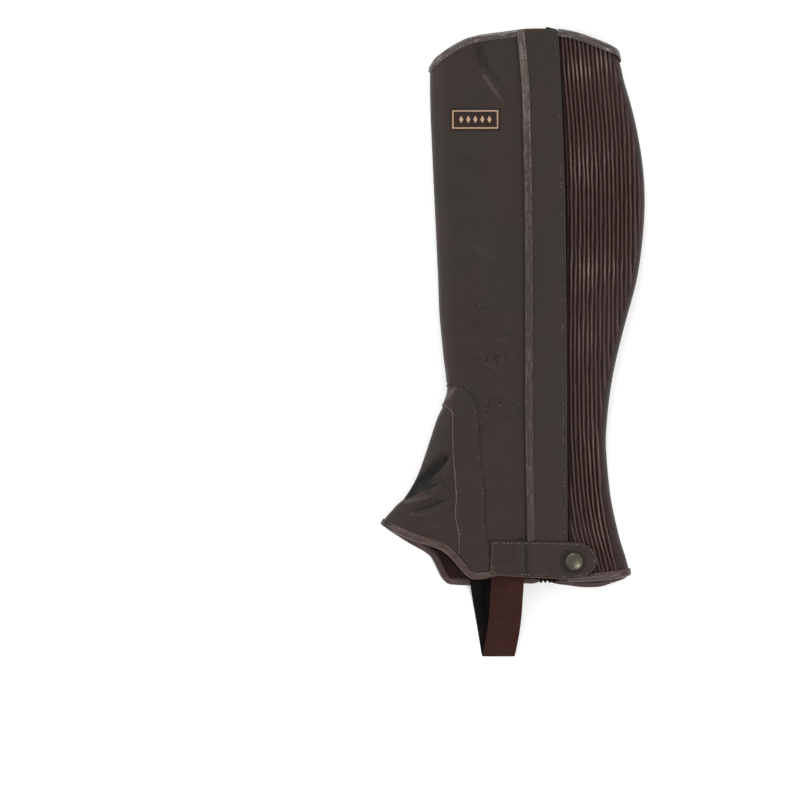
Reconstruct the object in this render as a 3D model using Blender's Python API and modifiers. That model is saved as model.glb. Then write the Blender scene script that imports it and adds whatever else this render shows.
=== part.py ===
"""Half chap of brown leather for a left leg, lying flat on its inner side.

A half chap is a gaiter that a rider wears over the calf. Here it lies on a surface with
its outer side up. +X runs from the shin to the calf, +Y up the leg, +Z away from the
surface. A height is measured along +Y from the hem line, where the leg panel ends.

Every piece is cut from one curved wall, the flattened leg. A point of that wall has an
angle and a height: the angle is 0 at the shin's fold, goes over the outer side to half a
turn at the calf's fold, and on or back along the inner side. An offset moves the point
out of the wall, along the wall's normal.
"""
import math

import bmesh
import bpy
import numpy as np
from mathutils import Vector

MM = 0.001
HALF_TURN = math.pi

# Where the hem line lies, so that the whole chap is centred on the origin
HEM_X = 0.2 * MM
HEM_Y = -190.8 * MM

# Leather and cloth
LEATHER = 1.8 * MM
OVERLAY = 1.1 * MM
PATCH = 1.5 * MM
TAPE = 0.9 * MM
BINDING = 0.8 * MM
FLAP = 1.2 * MM
TAB = 1.8 * MM
LABEL = 0.8 * MM
STRAP = 1.6 * MM
STRAP_WIDTH = 26 * MM

# Clearances: between pieces, and where a piece bends with another over a fold
GAP = 0.3 * MM
FOLD_GAP = 0.7 * MM

# The inner side rests flat: its wall's middle lies this high, over the patch
REST_HEIGHT = LEATHER / 2 + GAP + PATCH
INNER_ROUND = 0.55
CROWN_ARCH = 0.35

# Bindings: how far the outer face of a fold reaches past the panel's edge, and its legs
BINDING_REACH = LEATHER / 2 + GAP + BINDING
BINDING_LEG = 3.7 * MM
FLAP_BINDING_LEG = 4.4 * MM

# The ribbed elastic: the wall's inside, its valleys and crests, and the ribs' spacing
RIB_PITCH = 3.35 * MM
RIB_INSIDE = -LEATHER / 2
RIB_VALLEY = 0.5 * MM
RIB_CREST = 1.8 * MM
FIRST_RIB = -8
RIB_COUNT = 26
RIB_ORIGIN = 44.0 * MM
CLOTH_ENDS = (-9 * MM, 450 * MM)
CUT_INSIDE = -3 * MM
CUT_OUTSIDE = 5 * MM
PANEL_UNDER_FLAP = 4.6 * MM
ROUND_FROM_FOLD = 3.0 * MM

# Zip, flap and snap
ZIP_X = 16.0 * MM
CHAIN_WIDTH = 6.8 * MM
TAPE_WIDTH = 18.9 * MM
TAPE_OFFSET = -LEATHER / 2 - GAP - TAPE / 2
ZIP_EDGE_X = ZIP_X - CHAIN_WIDTH / 2 - 1.2 * MM
CHAIN_BOTTOM = -0.95 * MM
CHAIN_TOP = 1.2 * MM
CHAIN_START = 5 * MM
BACK_TAPE_ENDS = (-2.6 * MM, 442.6 * MM)
SLIDER_HEIGHT = 430 * MM
SLIDER_LENGTH = 10.5 * MM
SLIDER_TOP = 2.25 * MM
PULL_LENGTH = 24 * MM
PULL_TOP = 2.2 * MM
FLAP_BOTTOM = 3.0 * MM
FLAP_UNDER_RIM = 0.4 * MM
FLAP_FRONT_OFFSET = 4.05 * MM
FLAP_BACK_OFFSET = 2.8 * MM
SNAP_X = 48.4 * MM
SNAP_HEIGHT = 14.9 * MM

# The ankle's seam, where the gusset ends under an arch
ANKLE = 128 * MM
ARCH_RISE = 20 * MM

# Rows of every long piece: below the ankle's seam, and above it
LOWER_ROWS = 9
UPPER_ROWS = 16
LONG_ROWS = LOWER_ROWS + UPPER_ROWS
ROW_SPREAD = 0.45

# Columns of the leather: LEG_STOPS are those of the leg panel that lie on its lines
LEG_STOPS = (0, 4, 19, 27)
GUSSET_COLUMNS = LEG_STOPS[2] - LEG_STOPS[1]
STRIP_COLUMNS = 8
PANEL_COLUMNS = 10


def table(header, rows, ratios=()):
    """Named columns of a table in millimetres; the columns in ratios are plain numbers."""
    values = np.array(rows, dtype=float)
    return {name: values[:, i] * (1.0 if name in ratios else MM)
            for i, name in enumerate(header.split())}


# The flat outline of the wall's middle: where its front and back folds are
OUTLINE = table("height front back", (
    (-20, -133.0, 94.5),
    (0, -126.0, 92.4),
    (16, -120.0, 88.6),
    (32, -112.0, 83.6),
    (48, -102.1, 79.4),
    (64, -87.0, 76.4),
    (80, -77.4, 74.4),
    (96, -71.2, 73.0),
    (112, -65.8, 72.2),
    (128, -60.6, 72.8),
    (144, -54.9, 74.6),
    (160, -53.2, 77.0),
    (176, -54.6, 80.4),
    (208, -57.6, 88.4),
    (240, -58.8, 96.8),
    (272, -60.2, 101.8),
    (304, -61.8, 103.4),
    (352, -64.2, 98.8),
    (384, -65.6, 91.6),
    (411, -65.8, 85.0),
    (432, -66.0, 81.4),
    (460, -66.2, 77.0),
))

# How the flattened leg is filled: the height of its folds and of its outer side, and the
# share of its depth over which each fold rounds
FILL = table("height front_fold back_fold crown front_round back_round", (
    (-20, 9.6, 12.0, 25.5, 0.80, 0.50),
    (48, 10.0, 12.0, 26.0, 0.80, 0.50),
    (110, 11.5, 12.0, 26.5, 0.65, 0.52),
    (160, 12.0, 12.0, 27.5, 0.55, 0.55),
    (304, 12.0, 13.0, 30.0, 0.55, 0.55),
    (400, 12.0, 12.0, 28.0, 0.55, 0.55),
    (460, 11.5, 12.0, 26.0, 0.55, 0.55),
), ratios=("front_round", "back_round"))

# Soft folds of the gusset on the outer side, each a trough between two points
CREASES = table("start_x start_height end_x end_height half_width depth", (
    (-57, 96, -77, 79, 8, 2.4),
    (-77, 79, -90, 64, 8, 2.0),
    (-62, 61, -80, 55, 6, 1.4),
))

# Edges as the bindings' outer lines: height of each along the width
OUTER_HEM = table("x height", (
    (-110, 48.0), (-103, 45.6), (-92, 39.5), (-79.3, 32.2), (-66, 27.2), (-55.6, 22.8),
    (-45.2, 13.6), (-38, 4.8), (-33.4, 1.4), (-28, 0.6), (-18.8, 0.6), (20, 0.2),
    (56.8, -0.4), (75, 1.0), (92, 4.0), (100, 5.5),
))
INNER_HEM = table("x height", (
    (-110, 49.5), (-103, 45.6), (-85.2, 32.8), (-66, 19.6), (-60.1, 9.3), (-55.6, 1.6),
    (-49.7, -2.2), (-31.9, -2.8), (8, -1.1), (38.8, -2.4), (62.8, -4.6), (74.6, -2.4),
    (92, 4.0), (100, 7.0),
))
OUTER_RIM = table("x height", (
    (-75, 404.0), (-66, 412.0), (-58.8, 420.4), (-50, 427.2), (-38, 433.2), (-26.8, 436.8),
    (-2.8, 440.0), (18.8, 441.6), (30.8, 441.6), (43.6, 440.0), (54.8, 436.8), (70.8, 430.0),
    (80, 421.8), (84.6, 416.4), (95, 406.0),
))
INNER_RIM = table("x height", (
    (-75, 415.0), (-66, 412.0), (-50, 406.0), (-25, 401.0), (0, 402.0), (26, 406.0),
    (60, 411.5), (80, 415.4), (84.6, 416.4), (95, 418.0),
))

# Lines on the panels: where each lies across the chap at a height
GUSSET_SEAM_OUTER = table("height x", (
    (-20, -31.0), (0, -31.5), (30, -32.2), (62, -33.4), (92, -35.6), (116, -37.5), (140, -39.7)))
GUSSET_SEAM_INNER = table("height x", (
    (-20, -42.5), (10, -44.4), (47, -46.2), (78, -48.6), (105, -49.8), (128, -50.4), (140, -50.6)))
FLAP_FRONT = table("height x", (
    (-20, 12.6), (0, 12.4), (33, 12.2), (122, 10.7), (230, 10.7), (338, 9.6), (397, 7.8),
    (438, 4.2), (460, 2.2)))
FLAP_BACK = table("height x", (
    (-20, 43.4), (0, 43.2), (62, 42.8), (196, 42.0), (234, 41.8), (323, 40.4), (371, 38.6),
    (400, 37.4), (439, 35.2), (460, 34.0)))
STRIP_OUTER_WIDTH = table("height width", (
    (-20, 8.0), (0, 7.0), (40, 4.6), (100, 3.6), (400, 3.6), (440, 4.4), (460, 4.6)))
STRIP_INNER_WIDTH = table("height width", (
    (-20, 15.6), (0, 15.4), (60, 13.2), (140, 13.6), (210, 15.6), (300, 13.2), (460, 12.6)))
RIB_LEAN = table("height shift", (
    (-20, 23.0), (4, 17.0), (24, 12.0), (40, 8.0), (64, 4.2), (88, 2.2), (112, 0.8),
    (150, 0.0), (330, 0.0), (360, -1.2), (384, -3.2), (408, -5.2), (432, -7.2), (460, -9.4)))
PATCH_FRONT = table("height x", (
    (-20, -22.6), (3, -22.9), (28, -23.3), (79, -25.0), (118, -27.4), (171, -31.4),
    (232, -35.0), (290, -37.6), (320, -38.2)))
PATCH_BACK = table("height x", (
    (-20, 77.0), (3, 71.0), (26, 65.5), (50, 59.4), (81, 54.6), (99, 52.4), (122, 51.8),
    (144, 53.2), (171, 57.4), (206, 63.4), (232, 68.6), (276, 78.0), (320, 82.8)))
PATCH_ARCH_HEIGHT = 320 * MM
PATCH_ARCH_RISE = 72 * MM

# The ankle band's two edges, from the outer hem over the shin's fold to the inner hem;
# side is 1 on the outer side, 0 on the fold and -1 on the inner side, and row counts the
# rows of faces, which lie closest together over the fold
ANKLE_BAND = table("row side outer_x outer_height inner_x inner_height", (
    (0, 1, -19.6, 5.0, -43.8, 18.0),
    (2, 1, -20.9, 32.8, -43.8, 40.0),
    (4, 1, -23.0, 62.4, -43.8, 62.4),
    (6, 1, -26.0, 92.0, -45.2, 90.0),
    (8, 1, -27.6, 117.2, -47.0, 110.0),
    (11, 1, -29.4, 137.0, -49.0, 126.0),
    (15, 1, -37.6, 151.0, -51.6, 135.0),
    (20, 0, -53.2, 157.0, -56.0, 139.0),
    (25, -1, -47.0, 149.0, -54.0, 131.0),
    (28, -1, -42.4, 133.0, -56.5, 117.0),
    (30, -1, -39.6, 109.6, -59.0, 98.0),
    (32, -1, -37.6, 79.2, -59.6, 76.0),
    (34, -1, -34.5, 48.3, -58.4, 48.0),
    (36, -1, -31.6, 4.6, -56.6, 21.5),
), ratios=("row", "side"))

# The tab's middle above the wall along its length: over the leather, the bound flap's
# bump, the flap, and down to the snap
TAB_LIFT = table("x offset", (
    (-19, 2.35), (-8, 2.35), (-2, 2.4), (2, 2.9), (5, 4.6), (8, 6.6), (10, 7.1), (15, 7.1),
    (20, 6.3), (26, 5.5), (34, 5.1), (42, 4.9), (58, 4.8), (70, 4.4)))
TAB_START = -19.2 * MM
TAB_END = 66.4 * MM
TAB_ROUND_LENGTH = 22 * MM
TAB_ROUND_SHARE = 0.24
TAB_HEIGHT = 16.6 * MM
TAB_HALF_WIDTH = 14.4 * MM

# Over the hem's binding the tab lies at least this high
TAB_HEM_LIFT = 3.7 * MM
TAB_HEM_RAMP = (8.5 * MM, 14 * MM)

# The stirrup strap's free loop: middle of the strap, from the outer hem down and back
STRAP_LOOP = table("x height z", (
    (-5.6, -14, 18.4), (-6.4, -27, 13.8), (-8.0, -41, 9.4), (-10.0, -52, 6.2), (-11.4, -58.6, 4.2),
    (-12.0, -60.6, 2.8), (-12.2, -59.0, 1.5), (-12.8, -53, 1.15), (-14.6, -40, 1.15),
    (-17.0, -26, 1.2), (-19.2, -15, 2.2), (-20.6, -9, 4.5), (-21.4, -4.5, 6.3),
    (-22.0, 2, 6.7), (-22.4, 13, 6.7)))
STRAP_TOP_HEIGHTS = np.array([14.0, 5.0, -3.0]) * MM
STRAP_TOP_X = -5.0 * MM
STRAP_WALL_OFFSET = -3.5 * MM
STRAP_ROWS = 30
STRAP_CROWDING = 0.1

# Half widths along the zip's slider and its pull, from their lower ends
SLIDER_WIDTHS = table("along half_width", (
    (0, 2.9), (0.25, 3.1), (0.5, 3.6), (0.75, 4.1), (1, 3.4)), ratios=("along",))
PULL_WIDTHS = table("along half_width", (
    (0, 2.6), (0.25, 2.9), (0.5, 2.2), (0.75, 1.6), (1, 1.8)), ratios=("along",))

# The snap's cap and stud, down their outsides from the middle of the top
SNAP_CAP = table("radius height", (
    (0, 2.2), (3.4, 2.05), (6.0, 1.55), (7.2, 0.9), (7.5, 0.35), (7.3, 0), (0, 0)))
SNAP_STUD = table("radius height", (
    (0, 1.7), (2.8, 1.7), (3.0, 0.85), (4.2, 0.5), (4.2, 0), (0, 0)))
STUD_OFFSET = RIB_CREST + 0.4 * MM

# The small plain label near the top
LABEL_FRONT, LABEL_BACK = -50 * MM, -11 * MM
LABEL_BOTTOM, LABEL_TOP = 359.5 * MM, 376.5 * MM

# Each piece's look: its red, green and blue, its roughness, and 1 where it is metal
FINISHES = {
    "leg_panel": (0.050, 0.040, 0.034, 0.62, 0),
    "foot_flare": (0.050, 0.040, 0.034, 0.62, 0),
    "ankle_band": (0.052, 0.041, 0.035, 0.60, 0),
    "inner_patch": (0.046, 0.037, 0.032, 0.70, 0),
    "back_strip": (0.050, 0.040, 0.034, 0.62, 0),
    "stretch_panel": (0.062, 0.040, 0.036, 0.55, 0),
    "stretch_outline": (0.300, 0.300, 0.300, 0.50, 0),
    "zip_tape_front": (0.020, 0.016, 0.014, 0.90, 0),
    "zip_tape_back": (0.020, 0.016, 0.014, 0.90, 0),
    "zip_chain": (0.030, 0.026, 0.024, 0.45, 0),
    "zip_slider": (0.450, 0.440, 0.420, 0.30, 1),
    "zip_pull": (0.450, 0.440, 0.420, 0.30, 1),
    "zip_flap": (0.050, 0.040, 0.034, 0.62, 0),
    "flap_binding": (0.070, 0.044, 0.036, 0.50, 0),
    "top_binding_front": (0.064, 0.042, 0.036, 0.45, 0),
    "top_binding_back": (0.064, 0.042, 0.036, 0.45, 0),
    "hem_binding_front": (0.064, 0.042, 0.036, 0.45, 0),
    "hem_binding_back": (0.064, 0.042, 0.036, 0.45, 0),
    "snap_tab": (0.050, 0.038, 0.033, 0.58, 0),
    "snap_cap": (0.200, 0.170, 0.110, 0.38, 1),
    "snap_stud": (0.200, 0.170, 0.110, 0.38, 1),
    "stirrup_strap": (0.060, 0.024, 0.020, 0.85, 0),
    "side_label": (0.075, 0.045, 0.030, 0.65, 0),
}

COLLECTION = bpy.data.collections.new("half_chap")
CUTTERS = bpy.data.collections.new("half_chap_cutters")


def smooth(at, knots, values):
    """Curve through the table's points, whose slope at each is that of its neighbours."""
    slopes = np.gradient(values, knots)
    cell = np.clip(np.searchsorted(knots, at) - 1, 0, len(knots) - 2)
    width = knots[cell + 1] - knots[cell]
    share = np.clip((at - knots[cell]) / width, 0, 1)
    start, end = values[cell], values[cell + 1]
    eased = share * share * (3 - 2 * share)
    bend = share * (1 - share) * width
    return (start + (end - start) * eased
            + bend * ((1 - share) * slopes[cell] - share * slopes[cell + 1]))


def ramp(at, start, end):
    """0 before start, 1 after end, and a soft step between them."""
    share = np.clip((at - start) / (end - start), 0, 1)
    return share * share * (3 - 2 * share)


def outline(height):
    """Front and back folds of the wall at a height."""
    return (smooth(height, OUTLINE["height"], OUTLINE["front"]),
            smooth(height, OUTLINE["height"], OUTLINE["back"]))


def width_at(angle, height):
    """Place across the chap: half a cosine wave from the front fold to the back fold."""
    front, back = outline(height)
    return front + (back - front) * (1 - np.cos(angle)) / 2


def angle_at(x, height, side):
    """Angle of the wall's point at x; side is 1 on the outer side and -1 on the inner."""
    front, back = outline(height)
    share = np.clip((x - front) / (back - front), 0, 1)
    return side * np.arccos(1 - 2 * share)


def crease_depth(x, height):
    """Sum of the soft troughs: each has a cosine profile about its line."""
    depth = np.zeros_like(x)
    for i in range(len(CREASES["depth"])):
        start = np.array([CREASES["start_x"][i], CREASES["start_height"][i]])
        end = np.array([CREASES["end_x"][i], CREASES["end_height"][i]])
        run = end - start
        along = ((x - start[0]) * run[0] + (height - start[1]) * run[1]) / (run @ run)
        along = np.clip(along, 0, 1)
        away = np.hypot(x - start[0] - along * run[0], height - start[1] - along * run[1])
        reach = np.clip(away / CREASES["half_width"][i], 0, 1)
        depth = np.maximum(depth, CREASES["depth"][i] * np.cos(reach * HALF_TURN / 2) ** 2)
    return depth


def wall(angle, height):
    """Point of the wall's middle. Each fold rounds as a quarter sine wave of the depth,
    and the outer side arches a little more towards its middle."""
    fill = {name: smooth(height, FILL["height"], values) for name, values in FILL.items()}
    share = (1 - np.cos(angle)) / 2
    x = width_at(angle, height)
    depth = np.abs(np.sin(angle))
    fold = fill["front_fold"] + share * (fill["back_fold"] - fill["front_fold"])
    outer_round = fill["front_round"] + share * (fill["back_round"] - fill["front_round"])
    outer_rise = np.sin(np.minimum(depth / outer_round, 1) * HALF_TURN / 2)
    arch = (1 - CROWN_ARCH) * outer_rise + CROWN_ARCH * depth ** 2
    outer = fold + (fill["crown"] - fold) * arch - crease_depth(x, height) * outer_rise
    inner_rise = np.sin(np.minimum(depth / INNER_ROUND, 1) * HALF_TURN / 2)
    inner = fold - (fold - REST_HEIGHT) * inner_rise
    z = np.where(np.sin(angle) >= 0, outer, inner)
    return np.stack([x + HEM_X, height + HEM_Y, z], axis=-1)


def slopes_of(angle, height):
    """How the wall's point moves with the angle and with the height."""
    small_turn, small_step = 0.002, 0.1 * MM
    by_angle = (wall(angle + small_turn, height) - wall(angle - small_turn, height))
    by_height = (wall(angle, height + small_step) - wall(angle, height - small_step))
    return by_angle / (2 * small_turn), by_height / (2 * small_step)


def normal(angle, height):
    """Unit normal of the wall, pointing out of the leg."""
    by_angle, by_height = slopes_of(angle, height)
    out = np.cross(by_angle, by_height)
    return out / np.linalg.norm(out, axis=-1, keepdims=True)


def place(angle, height, offset):
    """Point at an offset from the wall's middle."""
    return wall(angle, height) + normal(angle, height) * np.asarray(offset)[..., None]


def edge_at(outer_edge, inner_edge, x, angle):
    """Height of an edge's outer line at x, on the side that the angle is on."""
    return np.where(np.sin(angle) >= 0,
                    smooth(x, outer_edge["x"], outer_edge["height"]),
                    smooth(x, inner_edge["x"], inner_edge["height"]))


def hem(angle, height):
    """Lower edge of the leather, inside its binding."""
    return edge_at(OUTER_HEM, INNER_HEM, width_at(angle, height), angle) + BINDING_REACH


def rim(angle, height):
    """Upper edge of the leather, inside its binding."""
    return edge_at(OUTER_RIM, INNER_RIM, width_at(angle, height), angle) - BINDING_REACH


def above_hem_binding(angle, height):
    """Line just over the hem's binding: where the hem slopes, the binding's width counts
    for more along the height."""
    x = width_at(angle, height)
    step = 0.5 * MM
    slope = (edge_at(OUTER_HEM, INNER_HEM, x + step, angle)
             - edge_at(OUTER_HEM, INNER_HEM, x - step, angle)) / (2 * step)
    reach = BINDING_REACH + BINDING_LEG + 2 * GAP
    return edge_at(OUTER_HEM, INNER_HEM, x, angle) + reach * np.sqrt(1 + slope * slope)


def settle(line, edge, start):
    """Height where a line meets an edge, found by following one and then the other."""
    height = np.asarray(start, dtype=float)
    for _ in range(30):
        height = edge(line(height), height)
    return height


def line_at(name_table, side):
    """Line on a panel from its table of places across the chap."""
    return lambda height: angle_at(smooth(height, name_table["height"], name_table["x"]),
                                   height, side)


def plain_line(x):
    """Line on the outer side that keeps its place across the chap."""
    return lambda height: angle_at(x + 0 * height, height, 1)


def gusset_outer(height):
    """Gusset's seam on the outer side, which keeps its angle above the ankle."""
    return line_at(GUSSET_SEAM_OUTER, 1)(np.minimum(height, ANKLE))


def gusset_inner(height):
    """Gusset's seam on the inner side, which keeps its angle above the ankle."""
    return line_at(GUSSET_SEAM_INNER, -1)(np.minimum(height, ANKLE))


def arch(angle, gap):
    """Top of the gusset: a parabola between its two seams, level beyond them."""
    outer, inner = gusset_outer(ANKLE), gusset_inner(ANKLE)
    share = (angle - (outer + inner) / 2) / ((outer - inner) / 2)
    return ANKLE + gap + ARCH_RISE * np.clip(1 - share * share, 0, 1)


def panel_front(height):
    """Front edge of the ribbed panel, under the flap."""
    x = smooth(height, FLAP_BACK["height"], FLAP_BACK["x"]) - PANEL_UNDER_FLAP
    return angle_at(x, height, 1)


def strip_seam_outer(height):
    """Seam between the ribbed panel and the back strip, a little in from the back fold."""
    width = smooth(height, STRIP_OUTER_WIDTH["height"], STRIP_OUTER_WIDTH["width"])
    return angle_at(outline(height)[1] - width, height, 1)


def strip_seam_inner(height):
    """Seam between the leg panel and the back strip, as an angle past the back fold."""
    width = smooth(height, STRIP_INNER_WIDTH["height"], STRIP_INNER_WIDTH["width"])
    return 2 * HALF_TURN + angle_at(outline(height)[1] - width, height, -1)


def leg_back(height):
    """The same seam as an angle back from the shin's fold, along the inner side."""
    return strip_seam_inner(height) - 2 * HALF_TURN


def shifted(line, distance):
    """Line moved across the chap by a distance along the wall."""
    def moved(height):
        angle = line(height)
        by_angle, _ = slopes_of(angle, height)
        return angle + distance / np.linalg.norm(by_angle, axis=-1)
    return moved


def between(lines, stops, column, height):
    """Angle at a column: the lines hold the columns in stops, the rest share the space."""
    angles = [line(height) for line in lines]
    angle = angles[0]
    for i in range(len(stops) - 1):
        share = np.clip((column - stops[i]) / (stops[i + 1] - stops[i]), 0, 1)
        angle = np.where(column >= stops[i], angles[i] + share * (angles[i + 1] - angles[i]),
                         angle)
    return angle


def level(row, bottom, ankle, top):
    """Height of a row: the lower rows end at the ankle, and the upper rows go on from
    there to the top, further and further apart."""
    low = np.clip(row / LOWER_ROWS, 0, 1)
    high = np.clip((row - LOWER_ROWS) / UPPER_ROWS, 0, 1)
    high = high * (1 - ROW_SPREAD * (1 - high))
    return bottom + (ankle - bottom) * low + (top - ankle) * high


def long_place(lines, stops, bottom, top, ankle=None):
    """Angle and height of the grid of a long piece, from its lines and its two edges."""
    def find(column, row):
        def line(height):
            return between(lines, stops, column, height)
        low = settle(line, bottom, 0 * column)
        high = settle(line, top, 0 * column + 420 * MM)
        middle = ANKLE + 0 * column if ankle is None else settle(line, ankle, 0 * column + ANKLE)
        height = level(row, low, middle, high)
        return line(height), height
    return find


def add_object(name, mesh, collection=COLLECTION):
    """Object with a material of its own, shaded smooth but for its sharp edges."""
    red, green, blue, roughness, metallic = FINISHES[name]
    look = bpy.data.materials.new(name + "_look")
    look.use_nodes = True
    shader = look.node_tree.nodes["Principled BSDF"]
    shader.inputs["Base Color"].default_value = (red, green, blue, 1.0)
    shader.inputs["Roughness"].default_value = roughness
    shader.inputs["Metallic"].default_value = metallic
    look.diffuse_color = (red, green, blue, 1.0)
    mesh.materials.append(look)
    mesh.shade_smooth()
    mesh.set_sharp_from_angle(angle=math.radians(40))
    piece = bpy.data.objects.new(name, mesh)
    collection.objects.link(piece)
    return piece


def slab(name, columns, rows, put, removed=None, collection=COLLECTION):
    """Closed wall: a grid is made thick by one unit, then put(column, row, depth) carries
    its points to their places; depth is -0.5 on the wall's inside and 0.5 outside."""
    shell = bmesh.new()
    bmesh.ops.create_grid(shell, x_segments=columns, y_segments=rows, size=0.5)
    if removed:
        middles = [(face, face.calc_center_median()) for face in shell.faces]
        gone = [face for face, middle in middles
                if removed((middle.x + 0.5) * columns, (middle.y + 0.5) * rows)]
        bmesh.ops.delete(shell, geom=gone, context="FACES")
    raised = bmesh.ops.extrude_face_region(shell, geom=shell.faces[:])
    corners = [part for part in raised["geom"] if isinstance(part, bmesh.types.BMVert)]
    bmesh.ops.translate(shell, verts=corners, vec=(0, 0, 1))
    grid = np.array([corner.co for corner in shell.verts])
    points = put((grid[:, 0] + 0.5) * columns, (grid[:, 1] + 0.5) * rows, grid[:, 2] - 0.5)
    for corner, point in zip(shell.verts, points):
        corner.co = point
    bmesh.ops.recalc_face_normals(shell, faces=shell.faces)
    if shell.calc_volume(signed=True) < 0:
        bmesh.ops.reverse_faces(shell, faces=shell.faces)
    mesh = bpy.data.meshes.new(name)
    shell.to_mesh(mesh)
    shell.free()
    return add_object(name, mesh, collection)


def sheet(name, columns, rows, find, offset, thickness, removed=None):
    """Wall of even thickness at an offset, cut to the shape that find gives."""
    def put(column, row, depth):
        angle, height = find(column, row)
        return place(angle, height, offset + depth * thickness)
    return slab(name, columns, rows, put, removed)


def edge_points(lines, stops, edge, start):
    """Angles and heights of a panel's edge at its columns."""
    column = np.arange(stops[-1] + 1.0)

    def line(height):
        return between(lines, stops, column, height)
    height = settle(line, edge, start + 0 * column)
    return line(height), height


def binding(name, angle, height, outer_gap, inner_gap, leg, base=0.0):
    """Strip folded over an edge. The edge's points run with the panel on their left, seen
    from outside. Across the strip go one leg, half a turn round the edge, and the other
    leg; the distance past the edge and the offset give each point of that path."""
    by_angle, by_height = slopes_of(angle, height)
    run = (by_angle * np.gradient(angle)[:, None] + by_height * np.gradient(height)[:, None])
    outward = np.cross(run, normal(angle, height))
    outward /= np.linalg.norm(outward, axis=-1, keepdims=True)
    aa = np.sum(by_angle * by_angle, axis=-1)
    ah = np.sum(by_angle * by_height, axis=-1)
    hh = np.sum(by_height * by_height, axis=-1)
    oa = np.sum(outward * by_angle, axis=-1)
    oh = np.sum(outward * by_height, axis=-1)
    area = aa * hh - ah * ah
    turn = (oa * hh - oh * ah) / area
    climb = (oh * aa - oa * ah) / area
    outer_gap = outer_gap + 0 * angle
    centre, radius = (outer_gap - inner_gap) / 2, (outer_gap + inner_gap) / 2
    arc = np.radians([90, 90, 45, 0, -45, -90, -90])
    legs = np.array([-leg, 0, 0, 0, 0, 0, -leg])

    def put(column, row, depth):
        at, across = np.rint(column).astype(int), np.rint(row).astype(int)
        reach = radius[at] + depth * BINDING
        past = legs[across] + reach * np.cos(arc[across])
        offset = base + centre[at] + reach * np.sin(arc[across])
        return place(angle[at] + turn[at] * past, height[at] + climb[at] * past, offset)
    return slab(name, len(angle) - 1, len(arc) - 1, put)


def make_leg_panel():
    """Main piece, with an arched notch at the bottom for the gusset."""
    lines = (plain_line(ZIP_EDGE_X), shifted(gusset_outer, GAP / 2),
             shifted(gusset_inner, -GAP / 2), shifted(leg_back, GAP / 2))
    find = long_place(lines, LEG_STOPS, hem, rim, ankle=lambda angle, height: arch(angle, GAP / 2))

    def notch(column, row):
        return LEG_STOPS[1] < column < LEG_STOPS[2] and row < LOWER_ROWS
    sheet("leg_panel", LEG_STOPS[-1], LONG_ROWS, find, 0.0, LEATHER, notch)


def make_foot_flare():
    """Gusset over the instep, from the hem up to the arch in the leg panel."""
    rows = 14
    lines = (shifted(gusset_outer, -GAP / 2), shifted(gusset_inner, GAP / 2))
    stops = (0, GUSSET_COLUMNS)

    def find(column, row):
        def line(height):
            return between(lines, stops, column, height)
        low = settle(line, hem, 0 * column)
        high = settle(line, lambda angle, height: arch(angle, -GAP / 2), 0 * column + ANKLE)
        height = low + (high - low) * row / rows
        return line(height), height
    sheet("foot_flare", stops[-1], rows, find, 0.0, LEATHER)


def make_ankle_band():
    """Overlay in an upside-down U. Its two edges are smooth curves of angle and height, and
    its ends stop above the hem's binding."""
    columns = 4
    knots = ANKLE_BAND["row"]
    edges = []
    for edge in ("outer", "inner"):
        height = ANKLE_BAND[edge + "_height"]
        angle = np.where(ANKLE_BAND["side"] == 0, 0.0,
                         angle_at(ANKLE_BAND[edge + "_x"], height, ANKLE_BAND["side"]))
        edges.append((angle, height))

    def find(column, row):
        (outer_angle, outer_height), (inner_angle, inner_height) = edges
        share = column / columns
        angle = ((1 - share) * smooth(row, knots, outer_angle)
                 + share * smooth(row, knots, inner_angle))
        wanted = ((1 - share) * smooth(row, knots, outer_height)
                  + share * smooth(row, knots, inner_height))

        def lowest(angle, height):
            return np.maximum(wanted, above_hem_binding(angle, height))
        return angle, settle(lambda height: angle, lowest, wanted)
    offset = LEATHER / 2 + FOLD_GAP + OVERLAY / 2
    sheet("ankle_band", columns, int(knots[-1]), find, offset, OVERLAY)


def make_inner_patch():
    """Reinforcement of the inner side: straight-sided below, and an oval arch on top."""
    columns, low_rows, arch_rows = 8, 14, 6

    def find(column, row):
        across = 2 * column / columns - 1
        up = np.clip((row - low_rows) / arch_rows, 0, 1)
        height = 0 * column
        for _ in range(30):
            front = smooth(height, PATCH_FRONT["height"], PATCH_FRONT["x"])
            back = smooth(height, PATCH_BACK["height"], PATCH_BACK["x"])
            x = (front + back) / 2 + (back - front) / 2 * across * np.sqrt(1 - up * up / 2)
            low = above_hem_binding(angle_at(x, height, -1), height)
            arched = PATCH_ARCH_RISE * up * np.sqrt(1 - across * across / 2)
            straight = low + (PATCH_ARCH_HEIGHT - low) * np.clip(row / low_rows, 0, 1)
            height = np.minimum(straight, PATCH_ARCH_HEIGHT)
        total = height + arched
        return angle_at(x, total, -1), total
    offset = LEATHER / 2 + GAP + PATCH / 2
    sheet("inner_patch", columns, low_rows + arch_rows, find, offset, PATCH)


def make_back_strip():
    """Smooth strip round the back fold."""
    lines = (shifted(strip_seam_outer, GAP / 2), shifted(strip_seam_inner, -GAP / 2))
    find = long_place(lines, (0, STRIP_COLUMNS), hem, rim)
    sheet("back_strip", STRIP_COLUMNS, LONG_ROWS, find, 0.0, LEATHER)


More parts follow.
